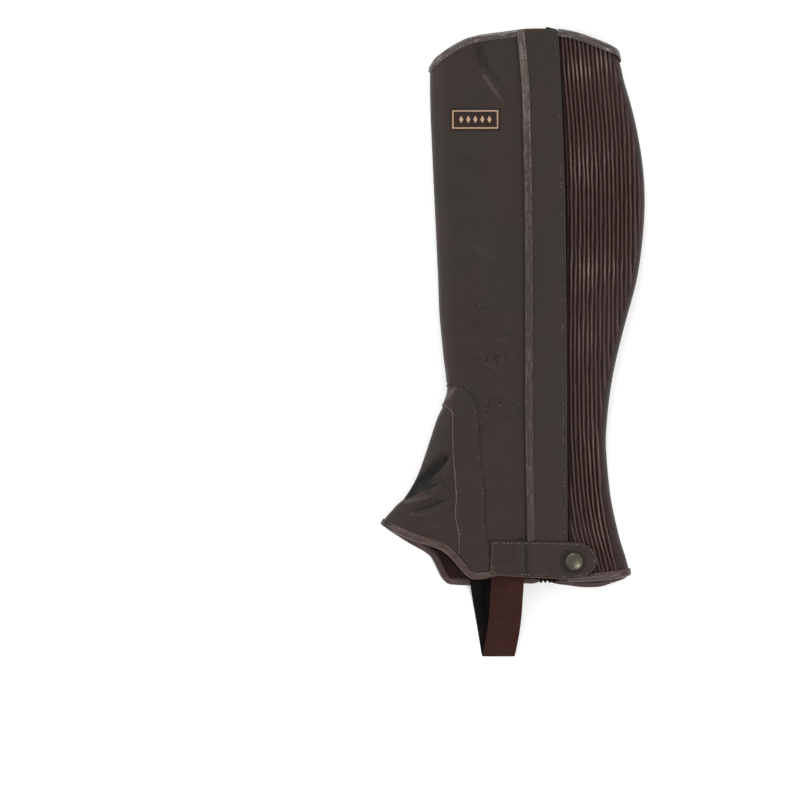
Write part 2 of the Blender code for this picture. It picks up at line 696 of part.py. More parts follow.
def make_stretch_panel():
    """Ribbed elastic, cut from a wider piece of ribbed cloth by the panel's outline."""
    def rib_angle(place_x, height):
        """Past its last flat stretch the cloth goes on round the back fold."""
        front, back = outline(height)
        limit = back - ROUND_FROM_FOLD
        share = 1 - 2 * (limit - front) / (back - front)
        last = np.arccos(share)
        turn = 2 / ((back - front) * np.sin(last))
        return np.where(place_x <= limit, angle_at(place_x, height, 1),
                        last + turn * (place_x - limit))

    def put(column, row, depth):
        height = level(row, CLOTH_ENDS[0], ANKLE, CLOTH_ENDS[1])
        lean = smooth(height, RIB_LEAN["height"], RIB_LEAN["shift"])
        x = RIB_ORIGIN + (FIRST_RIB + column / 2) * RIB_PITCH + lean
        outside = np.where(np.rint(column) % 2 == 1, RIB_CREST, RIB_VALLEY)
        return place(rib_angle(x, height), height, np.where(depth > 0, outside, RIB_INSIDE))
    cloth = slab("stretch_panel", 2 * RIB_COUNT, LONG_ROWS, put)

    lines = (panel_front, shifted(strip_seam_outer, -GAP / 2))
    find = long_place(lines, (0, PANEL_COLUMNS), hem, rim)

    def put_cutter(column, row, depth):
        angle, height = find(column, row)
        middle = (CUT_INSIDE + CUT_OUTSIDE) / 2
        return place(angle, height, middle + depth * (CUT_OUTSIDE - CUT_INSIDE))
    cutter = slab("stretch_outline", PANEL_COLUMNS, LONG_ROWS, put_cutter, collection=CUTTERS)
    cutter.hide_render = True
    cutter.display_type = "WIRE"
    cut = cloth.modifiers.new("panel_outline", "BOOLEAN")
    cut.operation = "INTERSECT"
    cut.solver = "EXACT"
    cut.object = cutter


def tapered(name, base, length, widths, bottom, top):
    """Small plate along the zip's middle line, as wide as its table says."""
    rows = 6

    def find(column, row):
        along = row / rows
        half = smooth(along, widths["along"], widths["half_width"])
        height = base + along * length
        return angle_at(ZIP_X + (column - 1) * half, height, 1), height
    sheet(name, 2, rows, find, (bottom + top) / 2, top - bottom)


def make_zip():
    """Two tapes behind the opening, the row of teeth on them, the slider and its pull."""
    under_binding = BINDING_LEG + 2 * GAP
    front_lines = (plain_line(ZIP_X - TAPE_WIDTH), plain_line(ZIP_X - GAP))
    back_lines = (plain_line(ZIP_X + GAP), plain_line(ZIP_X + TAPE_WIDTH))
    chain_lines = (plain_line(ZIP_X - CHAIN_WIDTH / 2), plain_line(ZIP_X + CHAIN_WIDTH / 2))
    front = long_place(front_lines, (0, 2),
                       lambda angle, height: hem(angle, height) + under_binding,
                       lambda angle, height: rim(angle, height) - under_binding)
    back = long_place(back_lines, (0, 2),
                      lambda angle, height: BACK_TAPE_ENDS[0] + 0 * height,
                      lambda angle, height: BACK_TAPE_ENDS[1] + 0 * height)
    chain = long_place(chain_lines, (0, 1),
                       lambda angle, height: CHAIN_START + 0 * height,
                       lambda angle, height: SLIDER_HEIGHT - GAP + 0 * height)
    sheet("zip_tape_front", 2, LONG_ROWS, front, TAPE_OFFSET, TAPE)
    sheet("zip_tape_back", 2, LONG_ROWS, back, TAPE_OFFSET, TAPE)
    sheet("zip_chain", 1, LONG_ROWS, chain, (CHAIN_BOTTOM + CHAIN_TOP) / 2,
          CHAIN_TOP - CHAIN_BOTTOM)
    tapered("zip_slider", SLIDER_HEIGHT, SLIDER_LENGTH, SLIDER_WIDTHS, CHAIN_BOTTOM, SLIDER_TOP)
    tapered("zip_pull", SLIDER_HEIGHT - PULL_LENGTH, PULL_LENGTH - GAP, PULL_WIDTHS,
            CHAIN_TOP + GAP, PULL_TOP)


def make_flap():
    """Cover strip over the zip, and the strip folded round its front edge."""
    columns = 4
    find = long_place((line_at(FLAP_FRONT, 1), line_at(FLAP_BACK, 1)), (0, columns),
                      lambda angle, height: FLAP_BOTTOM + 0 * height,
                      lambda angle, height: rim(angle, height) + BINDING_REACH - FLAP_UNDER_RIM)

    def put(column, row, depth):
        angle, height = find(column, row)
        sunk = (FLAP_FRONT_OFFSET - FLAP_BACK_OFFSET) * column / columns
        return place(angle, height, FLAP_FRONT_OFFSET - sunk + depth * FLAP)
    slab("zip_flap", columns, LONG_ROWS, put)

    rows = np.arange(LONG_ROWS, -1.0, -1.0)
    angle, height = find(0 * rows, rows)
    gap = FLAP / 2 + GAP + BINDING / 2
    binding("flap_binding", angle, height, gap, gap, FLAP_BINDING_LEG, FLAP_FRONT_OFFSET)


def make_edge_bindings():
    """Bindings of the upper and lower edges. The front ones hold the leg panel and the
    gusset, the back ones the ribbed panel and the back strip."""
    plain = LEATHER / 2 + GAP + BINDING / 2
    over_ribs = RIB_CREST + 2 * GAP + BINDING / 2
    front_lines = (plain_line(ZIP_EDGE_X), gusset_outer, gusset_inner,
                   shifted(leg_back, GAP / 2))
    back_lines = (shifted(line_at(FLAP_BACK, 1), 1.0 * MM), shifted(strip_seam_outer, GAP / 2),
                  shifted(strip_seam_inner, -GAP / 2))
    back_stops = (0, PANEL_COLUMNS, PANEL_COLUMNS + STRIP_COLUMNS)
    column = np.arange(back_stops[-1] + 1.0)
    ribbed = over_ribs + (plain - over_ribs) * ramp(column, PANEL_COLUMNS + 1, PANEL_COLUMNS + 4)

    angle, height = edge_points(front_lines, LEG_STOPS, rim, 420 * MM)
    binding("top_binding_front", angle, height, plain, plain, BINDING_LEG)
    angle, height = edge_points(front_lines, LEG_STOPS, hem, 0.0)
    binding("hem_binding_front", angle[::-1], height[::-1], plain, plain, BINDING_LEG)
    angle, height = edge_points(back_lines, back_stops, rim, 420 * MM)
    binding("top_binding_back", angle[::-1], height[::-1], ribbed[::-1], plain, BINDING_LEG)
    angle, height = edge_points(back_lines, back_stops, hem, 0.0)
    binding("hem_binding_back", angle, height, ribbed, plain, BINDING_LEG)


def make_snap_tab():
    """Tab across the foot of the zip, straight-sided, with a round end."""
    columns, rows = 18, 5

    def find(column, row):
        along = column / columns
        across = 2 * row / rows - 1
        straight = np.clip(along / (1 - TAB_ROUND_SHARE), 0, 1)
        curl = np.clip((along - 1 + TAB_ROUND_SHARE) / TAB_ROUND_SHARE, 0, 1)
        x = (TAB_START + (TAB_END - TAB_ROUND_LENGTH - TAB_START) * straight
             + TAB_ROUND_LENGTH * curl * np.sqrt(1 - across * across / 2))
        height = TAB_HEIGHT + TAB_HALF_WIDTH * across * np.sqrt(1 - curl * curl / 2)
        return x, height

    def put(column, row, depth):
        x, height = find(column, row)
        lift = smooth(x, TAB_LIFT["x"], TAB_LIFT["offset"])
        over_hem = TAB_HEM_LIFT + (lift - TAB_HEM_LIFT) * ramp(height, *TAB_HEM_RAMP)
        lift = np.maximum(lift, over_hem)
        return place(angle_at(x, height, 1), height, lift + depth * TAB)
    slab("snap_tab", columns, rows, put)


def turned(name, profile, offset, steps):
    """Turned piece on the wall's normal at the snap, from its profile of radius and height."""
    points = [(radius, 0, height) for radius, height in zip(profile["radius"], profile["height"])]
    mesh = bpy.data.meshes.new(name)
    mesh.from_pydata(points, [(i, i + 1) for i in range(len(points) - 1)], [])
    piece = add_object(name, mesh)
    spin = piece.modifiers.new("turn", "SCREW")
    spin.steps = steps
    spin.render_steps = steps
    spin.use_merge_vertices = True
    spin.merge_threshold = 0.01 * MM
    spin.use_smooth_shade = True
    height = np.array(SNAP_HEIGHT)
    angle = angle_at(np.array(SNAP_X), height, 1)
    piece.location = place(angle, height, offset)
    piece.rotation_mode = "QUATERNION"
    piece.rotation_quaternion = Vector(normal(angle, height)).to_track_quat("Z", "Y")


def make_snap():
    """Cap on the tab, and the stud between the tab and the ribbed panel."""
    tab_top = float(smooth(SNAP_X, TAB_LIFT["x"], TAB_LIFT["offset"])) + TAB / 2
    turned("snap_cap", SNAP_CAP, tab_top + GAP, 24)
    turned("snap_stud", SNAP_STUD, STUD_OFFSET, 16)


def make_strap():
    """Elastic loop: a flat strap along a path of place, height and depth. It hangs inside
    the outer wall, leaves by the hem, folds on the surface and comes back up inside."""
    columns = 3
    top = place(angle_at(STRAP_TOP_X, STRAP_TOP_HEIGHTS, 1), STRAP_TOP_HEIGHTS,
                STRAP_WALL_OFFSET + 0 * STRAP_TOP_HEIGHTS)
    x = np.concatenate([STRAP_TOP_X + 0 * STRAP_TOP_HEIGHTS, STRAP_LOOP["x"]])
    height = np.concatenate([STRAP_TOP_HEIGHTS, STRAP_LOOP["height"]])
    z = np.concatenate([top[:, 2], STRAP_LOOP["z"]])
    run = np.concatenate([[0.0], np.cumsum(np.hypot(np.diff(height), np.diff(z)))])
    fold = run[int(np.argmin(height))] / run[-1]

    def put(column, row, depth):
        share = row / STRAP_ROWS
        crowded = 4 * STRAP_CROWDING * share * (1 - share)
        at = run[-1] * (share - crowded * np.sin(2 * HALF_TURN * (share - fold)))
        small = 0.05 * MM
        here = np.stack([smooth(at, run, x) + HEM_X, smooth(at, run, height) + HEM_Y,
                         smooth(at, run, z)], axis=-1)
        climb = smooth(at + small, run, height) - smooth(at - small, run, height)
        rise = smooth(at + small, run, z) - smooth(at - small, run, z)
        out = np.stack([0 * at, rise, -climb], axis=-1) / np.hypot(climb, rise)[:, None]
        across = np.array([1.0, 0.0, 0.0]) * ((column / columns - 0.5) * STRAP_WIDTH)[:, None]
        return here + across + out * (depth * STRAP)[:, None]
    slab("stirrup_strap", columns, STRAP_ROWS, put)


def make_label():
    """Small plain label, which follows the wall."""
    columns, rows = 4, 2
    lines = (plain_line(LABEL_FRONT), plain_line(LABEL_BACK))

    def find(column, row):
        height = LABEL_BOTTOM + (LABEL_TOP - LABEL_BOTTOM) * row / rows
        return between(lines, (0, columns), column, height), height
    sheet("side_label", columns, rows, find, LEATHER / 2 + GAP + LABEL / 2, LABEL)


def main():
    for item in list(bpy.data.objects):
        bpy.data.objects.remove(item, do_unlink=True)
    bpy.context.scene.collection.children.link(COLLECTION)
    bpy.context.scene.collection.children.link(CUTTERS)
    make_leg_panel()
    make_foot_flare()
    make_ankle_band()
    make_inner_patch()
    make_back_strip()
    make_stretch_panel()
    make_zip()
    make_flap()
    make_edge_bindings()
    make_snap_tab()
    make_snap()
    make_strap()
    make_label()


main()
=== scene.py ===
# %% [markdown]
# # A half chap of brown leather, lying flat
#
# A half chap is a gaiter that a rider wears over the calf. This one is for the left leg. It
# lies on its inner side, and the camera looks straight down on its outer side. The frame
# comes first: the plain CAD model, which says where every piece is. Each of its pieces then
# gets a finer one in its place. The finished chap must keep its size.

# %% Load the frame
import math

import bpy
import numpy as np
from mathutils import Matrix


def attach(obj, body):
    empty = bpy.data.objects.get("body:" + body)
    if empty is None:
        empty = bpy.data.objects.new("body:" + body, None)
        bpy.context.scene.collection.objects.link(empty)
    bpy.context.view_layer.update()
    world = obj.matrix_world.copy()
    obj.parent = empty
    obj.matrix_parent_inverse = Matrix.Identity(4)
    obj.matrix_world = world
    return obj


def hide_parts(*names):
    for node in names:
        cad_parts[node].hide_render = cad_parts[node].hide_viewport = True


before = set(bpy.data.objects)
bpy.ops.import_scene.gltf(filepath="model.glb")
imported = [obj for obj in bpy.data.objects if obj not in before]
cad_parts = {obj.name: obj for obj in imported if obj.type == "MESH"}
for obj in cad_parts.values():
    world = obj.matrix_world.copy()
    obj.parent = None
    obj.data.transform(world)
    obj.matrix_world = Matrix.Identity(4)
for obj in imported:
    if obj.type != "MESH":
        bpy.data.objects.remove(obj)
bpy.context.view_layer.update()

print("CAD nodes:", len(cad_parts))

# %% [markdown]
# ## Measures
#
# A maker works from a pattern: thicknesses, widths and the lines along which pieces are cut.
# They could be read from the CAD meshes, but those are coarse. They are written out as
# numbers instead, so that finer pieces can be worked out from them. They are the ones that
# the CAD solids have, apart from small corrections to the hem, the rim and the front fold. A
# height is measured up the leg from the hem, and a place across the chap from its middle,
# both in millimetres in the tables.

# %% Thicknesses, gaps and widths
MM = 0.001
HALF_TURN = math.pi
HEM_X, HEM_Y = 0.2 * MM, -190.8 * MM
LEATHER = 1.8 * MM
OVERLAY = 1.1 * MM
PATCH = 1.5 * MM
TAPE = 0.9 * MM
BINDING = 0.8 * MM
FLAP = 1.2 * MM
TAB = 1.8 * MM
LABEL = 0.8 * MM
STRAP = 1.6 * MM
STRAP_WIDTH = 26 * MM
GAP = 0.3 * MM
REST_HEIGHT = LEATHER / 2 + GAP + PATCH
INNER_ROUND = 0.55
CROWN_ARCH = 0.35
BINDING_REACH = LEATHER / 2 + GAP + BINDING
BINDING_LEG = 3.7 * MM
FLAP_BINDING_LEG = 4.4 * MM
RIB_PITCH = 3.35 * MM
RIB_INSIDE = -LEATHER / 2
RIB_CREST = 1.8 * MM
RIB_ORIGIN = 44.0 * MM
PANEL_UNDER_FLAP = 4.6 * MM
ZIP_X = 16.0 * MM
CHAIN_WIDTH = 6.8 * MM
TAPE_WIDTH, BACK_TAPE_WIDTH = 18.9 * MM, 19.25 * MM
TAPE_OFFSET = -LEATHER / 2 - GAP - TAPE / 2
ZIP_EDGE_X = ZIP_X - CHAIN_WIDTH / 2 - 1.2 * MM
CHAIN_START = 5 * MM
BACK_TAPE_ENDS = (-2.6 * MM, 442.6 * MM)
NEAR_RIM = 420 * MM
SLIDER_HEIGHT = 430 * MM
FLAP_BOTTOM = 3.0 * MM
FLAP_UNDER_RIM = 0.4 * MM
FLAP_FRONT_OFFSET = 4.05 * MM
FLAP_BACK_OFFSET = 2.8 * MM
SNAP_X, SNAP_HEIGHT = 48.0 * MM, 15.1 * MM
ANKLE = 128 * MM
ARCH_RISE = 20 * MM
PATCH_ARCH_HEIGHT = 320 * MM
PATCH_ARCH_RISE = 72 * MM
TAB_START, TAB_END = -18.4 * MM, 66.2 * MM
TAB_ROUND_LENGTH = 22 * MM
TAB_ROUND_SHARE = 0.24
TAB_HEIGHT = 16.6 * MM
TAB_HALF_WIDTH = 14.4 * MM
TAB_HEM_LIFT = 3.7 * MM
TAB_HEM_RAMP = (8.5 * MM, 14 * MM)
LABEL_FRONT, LABEL_BACK = -50 * MM, -11 * MM
LABEL_BOTTOM, LABEL_TOP = 359.5 * MM, 376.5 * MM


# %% Tables of the pattern
def table(header, rows, ratios=""):
    """Named columns in millimetres, kept as metres; columns in ratios stay plain numbers."""
    values = np.array(rows, dtype=float)
    return {name: values[:, i] * (1.0 if name in ratios.split() else MM)
            for i, name in enumerate(header.split())}


OUTLINE = table("height front back", (
    (-20, -133.0, 95.3), (0, -126.0, 93.2), (16, -120.0, 89.4), (32, -112.0, 84.4),
    (48, -102.3, 80.5), (64, -87.0, 77.2), (80, -77.5, 75.2), (96, -71.2, 73.8),
    (112, -65.8, 73.0), (128, -60.7, 74.0), (144, -54.9, 75.6), (160, -53.2, 78.0),
    (176, -54.8, 81.2), (192, -56.2, 85.0), (208, -57.6, 89.2), (240, -58.8, 97.7),
    (272, -60.2, 102.3), (304, -61.8, 104.1), (320, -62.6, 103.5), (352, -64.2, 99.4),
    (368, -65.0, 96.1), (384, -65.6, 92.0), (400, -65.8, 87.3), (411, -65.8, 84.9),
    (418, -65.8, 83.3), (432, -66.0, 81.0), (460, -66.2, 77.0)))
PINCH = table("height inward", (
    (-20, 0), (42, 0), (50.8, -0.5), (54, -0.8), (57.2, -1.3), (60.4, -1.5), (63.6, -0.4),
    (66.8, -0.4), (72, -0.2), (80, 0), (120, 0), (132, 0.3), (136, 0.7), (140, 1.4), (144, 2.0),
    (149, 2.6), (154.5, 2.4), (159, 0.4), (164, 0.1), (170, 0), (460, 0)))
FILL = table("height front_fold back_fold crown front_round back_round", (
    (-20, 9.6, 12.0, 25.5, 0.80, 0.50), (48, 10.0, 12.0, 26.0, 0.80, 0.50),
    (110, 11.5, 12.0, 26.5, 0.65, 0.52), (160, 12.0, 12.0, 27.5, 0.55, 0.55),
    (304, 12.0, 13.0, 30.0, 0.55, 0.55), (400, 12.0, 12.0, 28.0, 0.55, 0.55),
    (460, 11.5, 12.0, 26.0, 0.55, 0.55)), ratios="front_round back_round")
CREASES = table("start_x start_height end_x end_height half_width depth", (
    (-57, 96, -77, 79, 8, 2.4), (-77, 79, -90, 64, 8, 2.0), (-62, 61, -80, 55, 6, 1.4)))
OUTER_HEM = table("x height", (
    (-110, 47.2), (-103.6, 43.0), (-97.4, 39.2), (-90, 35.8), (-80, 31.6), (-66, 27.2),
    (-55.6, 22.8), (-49.4, 17.8), (-43.4, 11.0), (-38, 4.8), (-33.4, 1.4), (-28, 0.6),
    (-22, 1.2), (-15, 3.0), (8, 2.8), (20, 1.6), (36, 0.2), (56.8, -0.4), (75, 1.0),
    (92, 3.8), (100, 5.5)))
INNER_HEM = table("x height", (
    (-110, 47.0), (-103.6, 43.0), (-97.6, 38.6), (-90.4, 33.9), (-83.2, 29.4), (-76, 25.4),
    (-71.2, 22.8), (-66.4, 19.3), (-64, 16.9), (-61.6, 12.6), (-59.2, 7.4), (-56.8, 2.4),
    (-54.4, -1.0), (-52, -3.2), (-47.2, -4.0), (-40, -4.4), (-20, -4.0), (8.8, -3.0),
    (17, -2.8), (21.6, -1.2), (28, -1.0), (32, -2.6), (36, -3.5), (44, -4.5), (53.6, -5.8),
    (63.2, -6.0), (69.6, -5.5), (76, -3.6), (82.4, -1.4), (88, 0.8), (92, 3.8), (100, 7.0)))
OUTER_RIM = table("x height", (
    (-75, 404.0), (-66, 411.6), (-61.6, 417.6), (-56.8, 421.5), (-52, 425.1), (-47.2, 428.1),
    (-37.6, 432.9), (-28, 435.5), (-18.4, 437.0), (-8.8, 438.2), (0.8, 439.5), (10.4, 440.7),
    (20, 441.0), (30, 440.7), (39.2, 439.6), (44, 438.8), (53.6, 436.4), (63.2, 432.9),
    (72.8, 429.0), (77.6, 426.7), (80.8, 424.6), (82.4, 422.4), (83.4, 419.5), (95, 400.0)))
INNER_RIM = table("x height", (
    (-75, 415.0), (-66, 411.6), (-50, 406.0), (-25, 401.0), (0, 402.0), (26, 406.0),
    (60, 411.5), (80, 417.5), (83.4, 419.5), (95, 422.0)))
GUSSET_SEAM_OUTER = table("height x", (
    (-20, -31.0), (0, -31.5), (30, -32.2), (62, -33.4), (92, -35.6), (116, -37.5),
    (140, -39.7)))
GUSSET_SEAM_INNER = table("height x", (
    (-20, -42.5), (10, -44.4), (47, -46.2), (78, -48.6), (105, -49.8), (128, -50.4),
    (140, -50.6)))
FLAP_FRONT = table("height x", (
    (-20, 12.6), (0, 12.4), (33, 12.2), (122, 10.7), (230, 10.7), (338, 9.6), (397, 7.8),
    (438, 4.2), (460, 2.2)))
FLAP_BACK = table("height x", (
    (-20, 43.4), (0, 43.2), (62, 42.8), (196, 42.0), (234, 41.8), (323, 40.4), (371, 38.6),
    (400, 37.4), (439, 35.2), (460, 34.0)))
STRIP_OUTER_WIDTH = table("height width", (
    (-20, 8.0), (0, 7.0), (40, 4.6), (100, 3.6), (400, 3.6), (440, 4.4), (460, 4.6)))
STRIP_INNER_WIDTH = table("height width", (
    (-20, 15.6), (0, 15.4), (60, 13.2), (140, 13.6), (210, 15.6), (300, 13.2), (460, 12.6)))
RIB_LEAN = table("height shift", (
    (-20, 23.0), (4, 17.0), (24, 12.0), (40, 8.0), (64, 4.2), (88, 2.2), (112, 0.8),
    (150, 0.0), (330, 0.0), (360, -1.2), (384, -3.2), (408, -5.2), (432, -7.2), (460, -9.4)))
PATCH_FRONT = table("height x", (
    (-20, -22.6), (3, -22.9), (28, -23.3), (79, -25.0), (118, -27.4), (171, -31.4),
    (232, -35.0), (290, -37.6), (320, -38.2)))
PATCH_BACK = table("height x", (
    (-20, 77.0), (3, 71.0), (26, 65.5), (50, 59.4), (81, 54.6), (99, 52.4), (122, 51.8),
    (144, 53.2), (171, 57.4), (206, 63.4), (232, 68.6), (276, 78.0), (320, 82.8)))
ANKLE_BAND = table("row side outer_x outer_height inner_x inner_height", (
    (0, 1, -19.6, 5.0, -44.3, 18.0), (2, 1, -20.9, 32.8, -44.8, 40.0),
    (4, 1, -23.0, 62.4, -46.2, 62.4), (6, 1, -26.0, 92.0, -47.8, 90.0),
    (8, 1, -27.6, 117.2, -48.8, 111.0), (11, 1, -29.4, 137.0, -48.9, 127.5),
    (15, 1, -37.6, 151.0, -50.9, 136.0), (20, 0, -53.2, 157.0, -56.0, 138.5),
    (25, -1, -47.0, 149.0, -54.0, 131.0), (28, -1, -42.4, 133.0, -56.5, 117.0),
    (30, -1, -39.6, 109.6, -59.0, 98.0), (32, -1, -37.6, 79.2, -59.6, 76.0),
    (34, -1, -34.5, 48.3, -58.4, 48.0), (36, -1, -31.6, 4.6, -56.6, 21.5)),
    ratios="row side")
TAB_LIFT = table("x offset", (
    (-19, 2.35), (-8, 2.35), (-2, 2.4), (2, 2.9), (5, 4.6), (8, 6.6), (10, 7.1), (15, 7.1),
    (20, 6.3), (26, 5.5), (34, 5.1), (42, 4.9), (58, 4.8), (70, 4.4)))
STRAP_LOOP = table("x height z", (
    (-5.6, -14, 18.4), (-6.4, -27, 13.8), (-8.0, -41, 9.4), (-10.0, -52, 6.2),
    (-11.4, -58.6, 4.2), (-12.0, -60.6, 2.8), (-12.5, -59.0, 1.5), (-13.5, -53, 1.15),
    (-15.6, -40, 1.15), (-18.0, -26, 1.2), (-19.9, -15, 2.2), (-20.9, -9, 4.5),
    (-21.4, -4.5, 6.3), (-22.0, 2, 6.7), (-22.4, 13, 6.7)))
STRAP_TOP_HEIGHTS = np.array([14.0, 5.0, -3.0]) * MM
STRAP_TOP_X = -5.0 * MM
STRAP_WALL_OFFSET = -3.5 * MM

# %% [markdown]
# ## The wall of the leg
#
# The whole chap is one curved wall, the flattened leg, and every piece is cut from it. It
# could be sculpted, but then each cut line would have to be drawn by eye. Here the wall is a
# function of two parameters: an angle round the leg (0 at the shin's fold, over the outer
# side to half a turn at the calf's fold, and back along the inner side) and a height. An
# offset then moves a point out of the wall, along its normal.


# %% Curves through tables
def smooth(at, knots, values):
    """Curve through the table's points, whose slope at each is that of its neighbours."""
    slopes = np.gradient(values, knots)
    cell = np.clip(np.searchsorted(knots, at) - 1, 0, len(knots) - 2)
    width = knots[cell + 1] - knots[cell]
    share = np.clip((at - knots[cell]) / width, 0, 1)
    start, end = values[cell], values[cell + 1]
    bend = share * (1 - share) * width
    return (start + (end - start) * share * share * (3 - 2 * share)
            + bend * ((1 - share) * slopes[cell] - share * slopes[cell + 1]))


def follow(lines, at):
    """Smooth curve through a table of two columns: the places, and the values there."""
    knots, values = lines.values()
    return smooth(at, knots, values)


def ramp(at, start, end):
    """0 before start, 1 after end, and a soft step between them."""
    share = np.clip((at - start) / (end - start), 0, 1)
    return share * share * (3 - 2 * share)


def trough(distance, half_width):
    """1 on a line, 0 from half its width on, and a squared cosine between them."""
    return np.cos(np.clip(distance / half_width, 0, 1) * HALF_TURN / 2) ** 2


def away_from(x, height, lines, i):
    """Distance of each point from line i of a table, in the flat plane, and how far along
    the line its nearest point is, from 0 to 1. A bow bends the line to its left."""
    start = np.array([lines["start_x"][i], lines["start_height"][i]])
    run = np.array([lines["end_x"][i], lines["end_height"][i]]) - start
    along = ((x - start[0]) * run[0] + (height - start[1]) * run[1]) / (run @ run)
    along = np.clip(along, 0, 1)
    bend = 4 * along * (1 - along) * (lines["bow"][i] if "bow" in lines else 0)
    left = np.array([-run[1], run[0]]) / np.hypot(*run)
    return np.hypot(x - start[0] - along * run[0] - bend * left[0],
                    height - start[1] - along * run[1] - bend * left[1]), along


# %% The wall itself
def outline(height):
    """Front and back folds of the wall at a height."""
    return (smooth(height, OUTLINE["height"], OUTLINE["front"]),
            smooth(height, OUTLINE["height"], OUTLINE["back"]))


def width_at(angle, height):
    """Place across the chap: half a cosine wave from the front fold to the back fold."""
    front, back = outline(height)
    return front + (back - front) * (1 - np.cos(angle)) / 2


def angle_at(x, height, side):
    """Angle of the wall's point at x; side is 1 on the outer side and -1 on the inner."""
    front, back = outline(height)
    return side * np.arccos(1 - 2 * np.clip((x - front) / (back - front), 0, 1))


def crease_depth(x, height):
    """Deepest of the soft troughs: each has a cosine profile about its line."""
    depth = np.zeros_like(x)
    for i in range(len(CREASES["depth"])):
        distance, _ = away_from(x, height, CREASES, i)
        depth = np.maximum(depth, CREASES["depth"][i] * trough(distance, CREASES["half_width"][i]))
    return depth


def wall(angle, height):
    """Point of the wall's middle. Each fold rounds as a quarter sine wave of the depth,
    and the outer side arches a little more towards its middle. Where the ankle bends, the
    front fold itself is pinched in a little."""
    fill = {name: smooth(height, FILL["height"], values)
            for name, values in FILL.items() if name != "height"}
    share = (1 - np.cos(angle)) / 2
    x = width_at(angle, height)
    depth = np.abs(np.sin(angle))
    fold = fill["front_fold"] + share * (fill["back_fold"] - fill["front_fold"])
    outer_round = fill["front_round"] + share * (fill["back_round"] - fill["front_round"])
    outer_rise = np.sin(np.minimum(depth / outer_round, 1) * HALF_TURN / 2)
    arched = (1 - CROWN_ARCH) * outer_rise + CROWN_ARCH * depth ** 2
    outer = fold + (fill["crown"] - fold) * arched - crease_depth(x, height) * outer_rise
    inner_rise = np.sin(np.minimum(depth / INNER_ROUND, 1) * HALF_TURN / 2)
    inner = fold - (fold - REST_HEIGHT) * inner_rise
    z = np.where(np.sin(angle) >= 0, outer, inner)
    x = x + follow(PINCH, height) * (1 - share) ** 14
    return np.stack([x + HEM_X, height + HEM_Y, z], axis=-1)


def slopes_of(angle, height):
    """How the wall's point moves with the angle and with the height."""
    turn, step = 0.002, 0.1 * MM
    return ((wall(angle + turn, height) - wall(angle - turn, height)) / (2 * turn),
            (wall(angle, height + step) - wall(angle, height - step)) / (2 * step))


def unit(vectors):
    """The same directions with a length of one."""
    return vectors / np.linalg.norm(vectors, axis=-1, keepdims=True)


def normal(angle, height):
    """Unit normal of the wall, pointing out of the leg."""
    return unit(np.cross(*slopes_of(angle, height)))
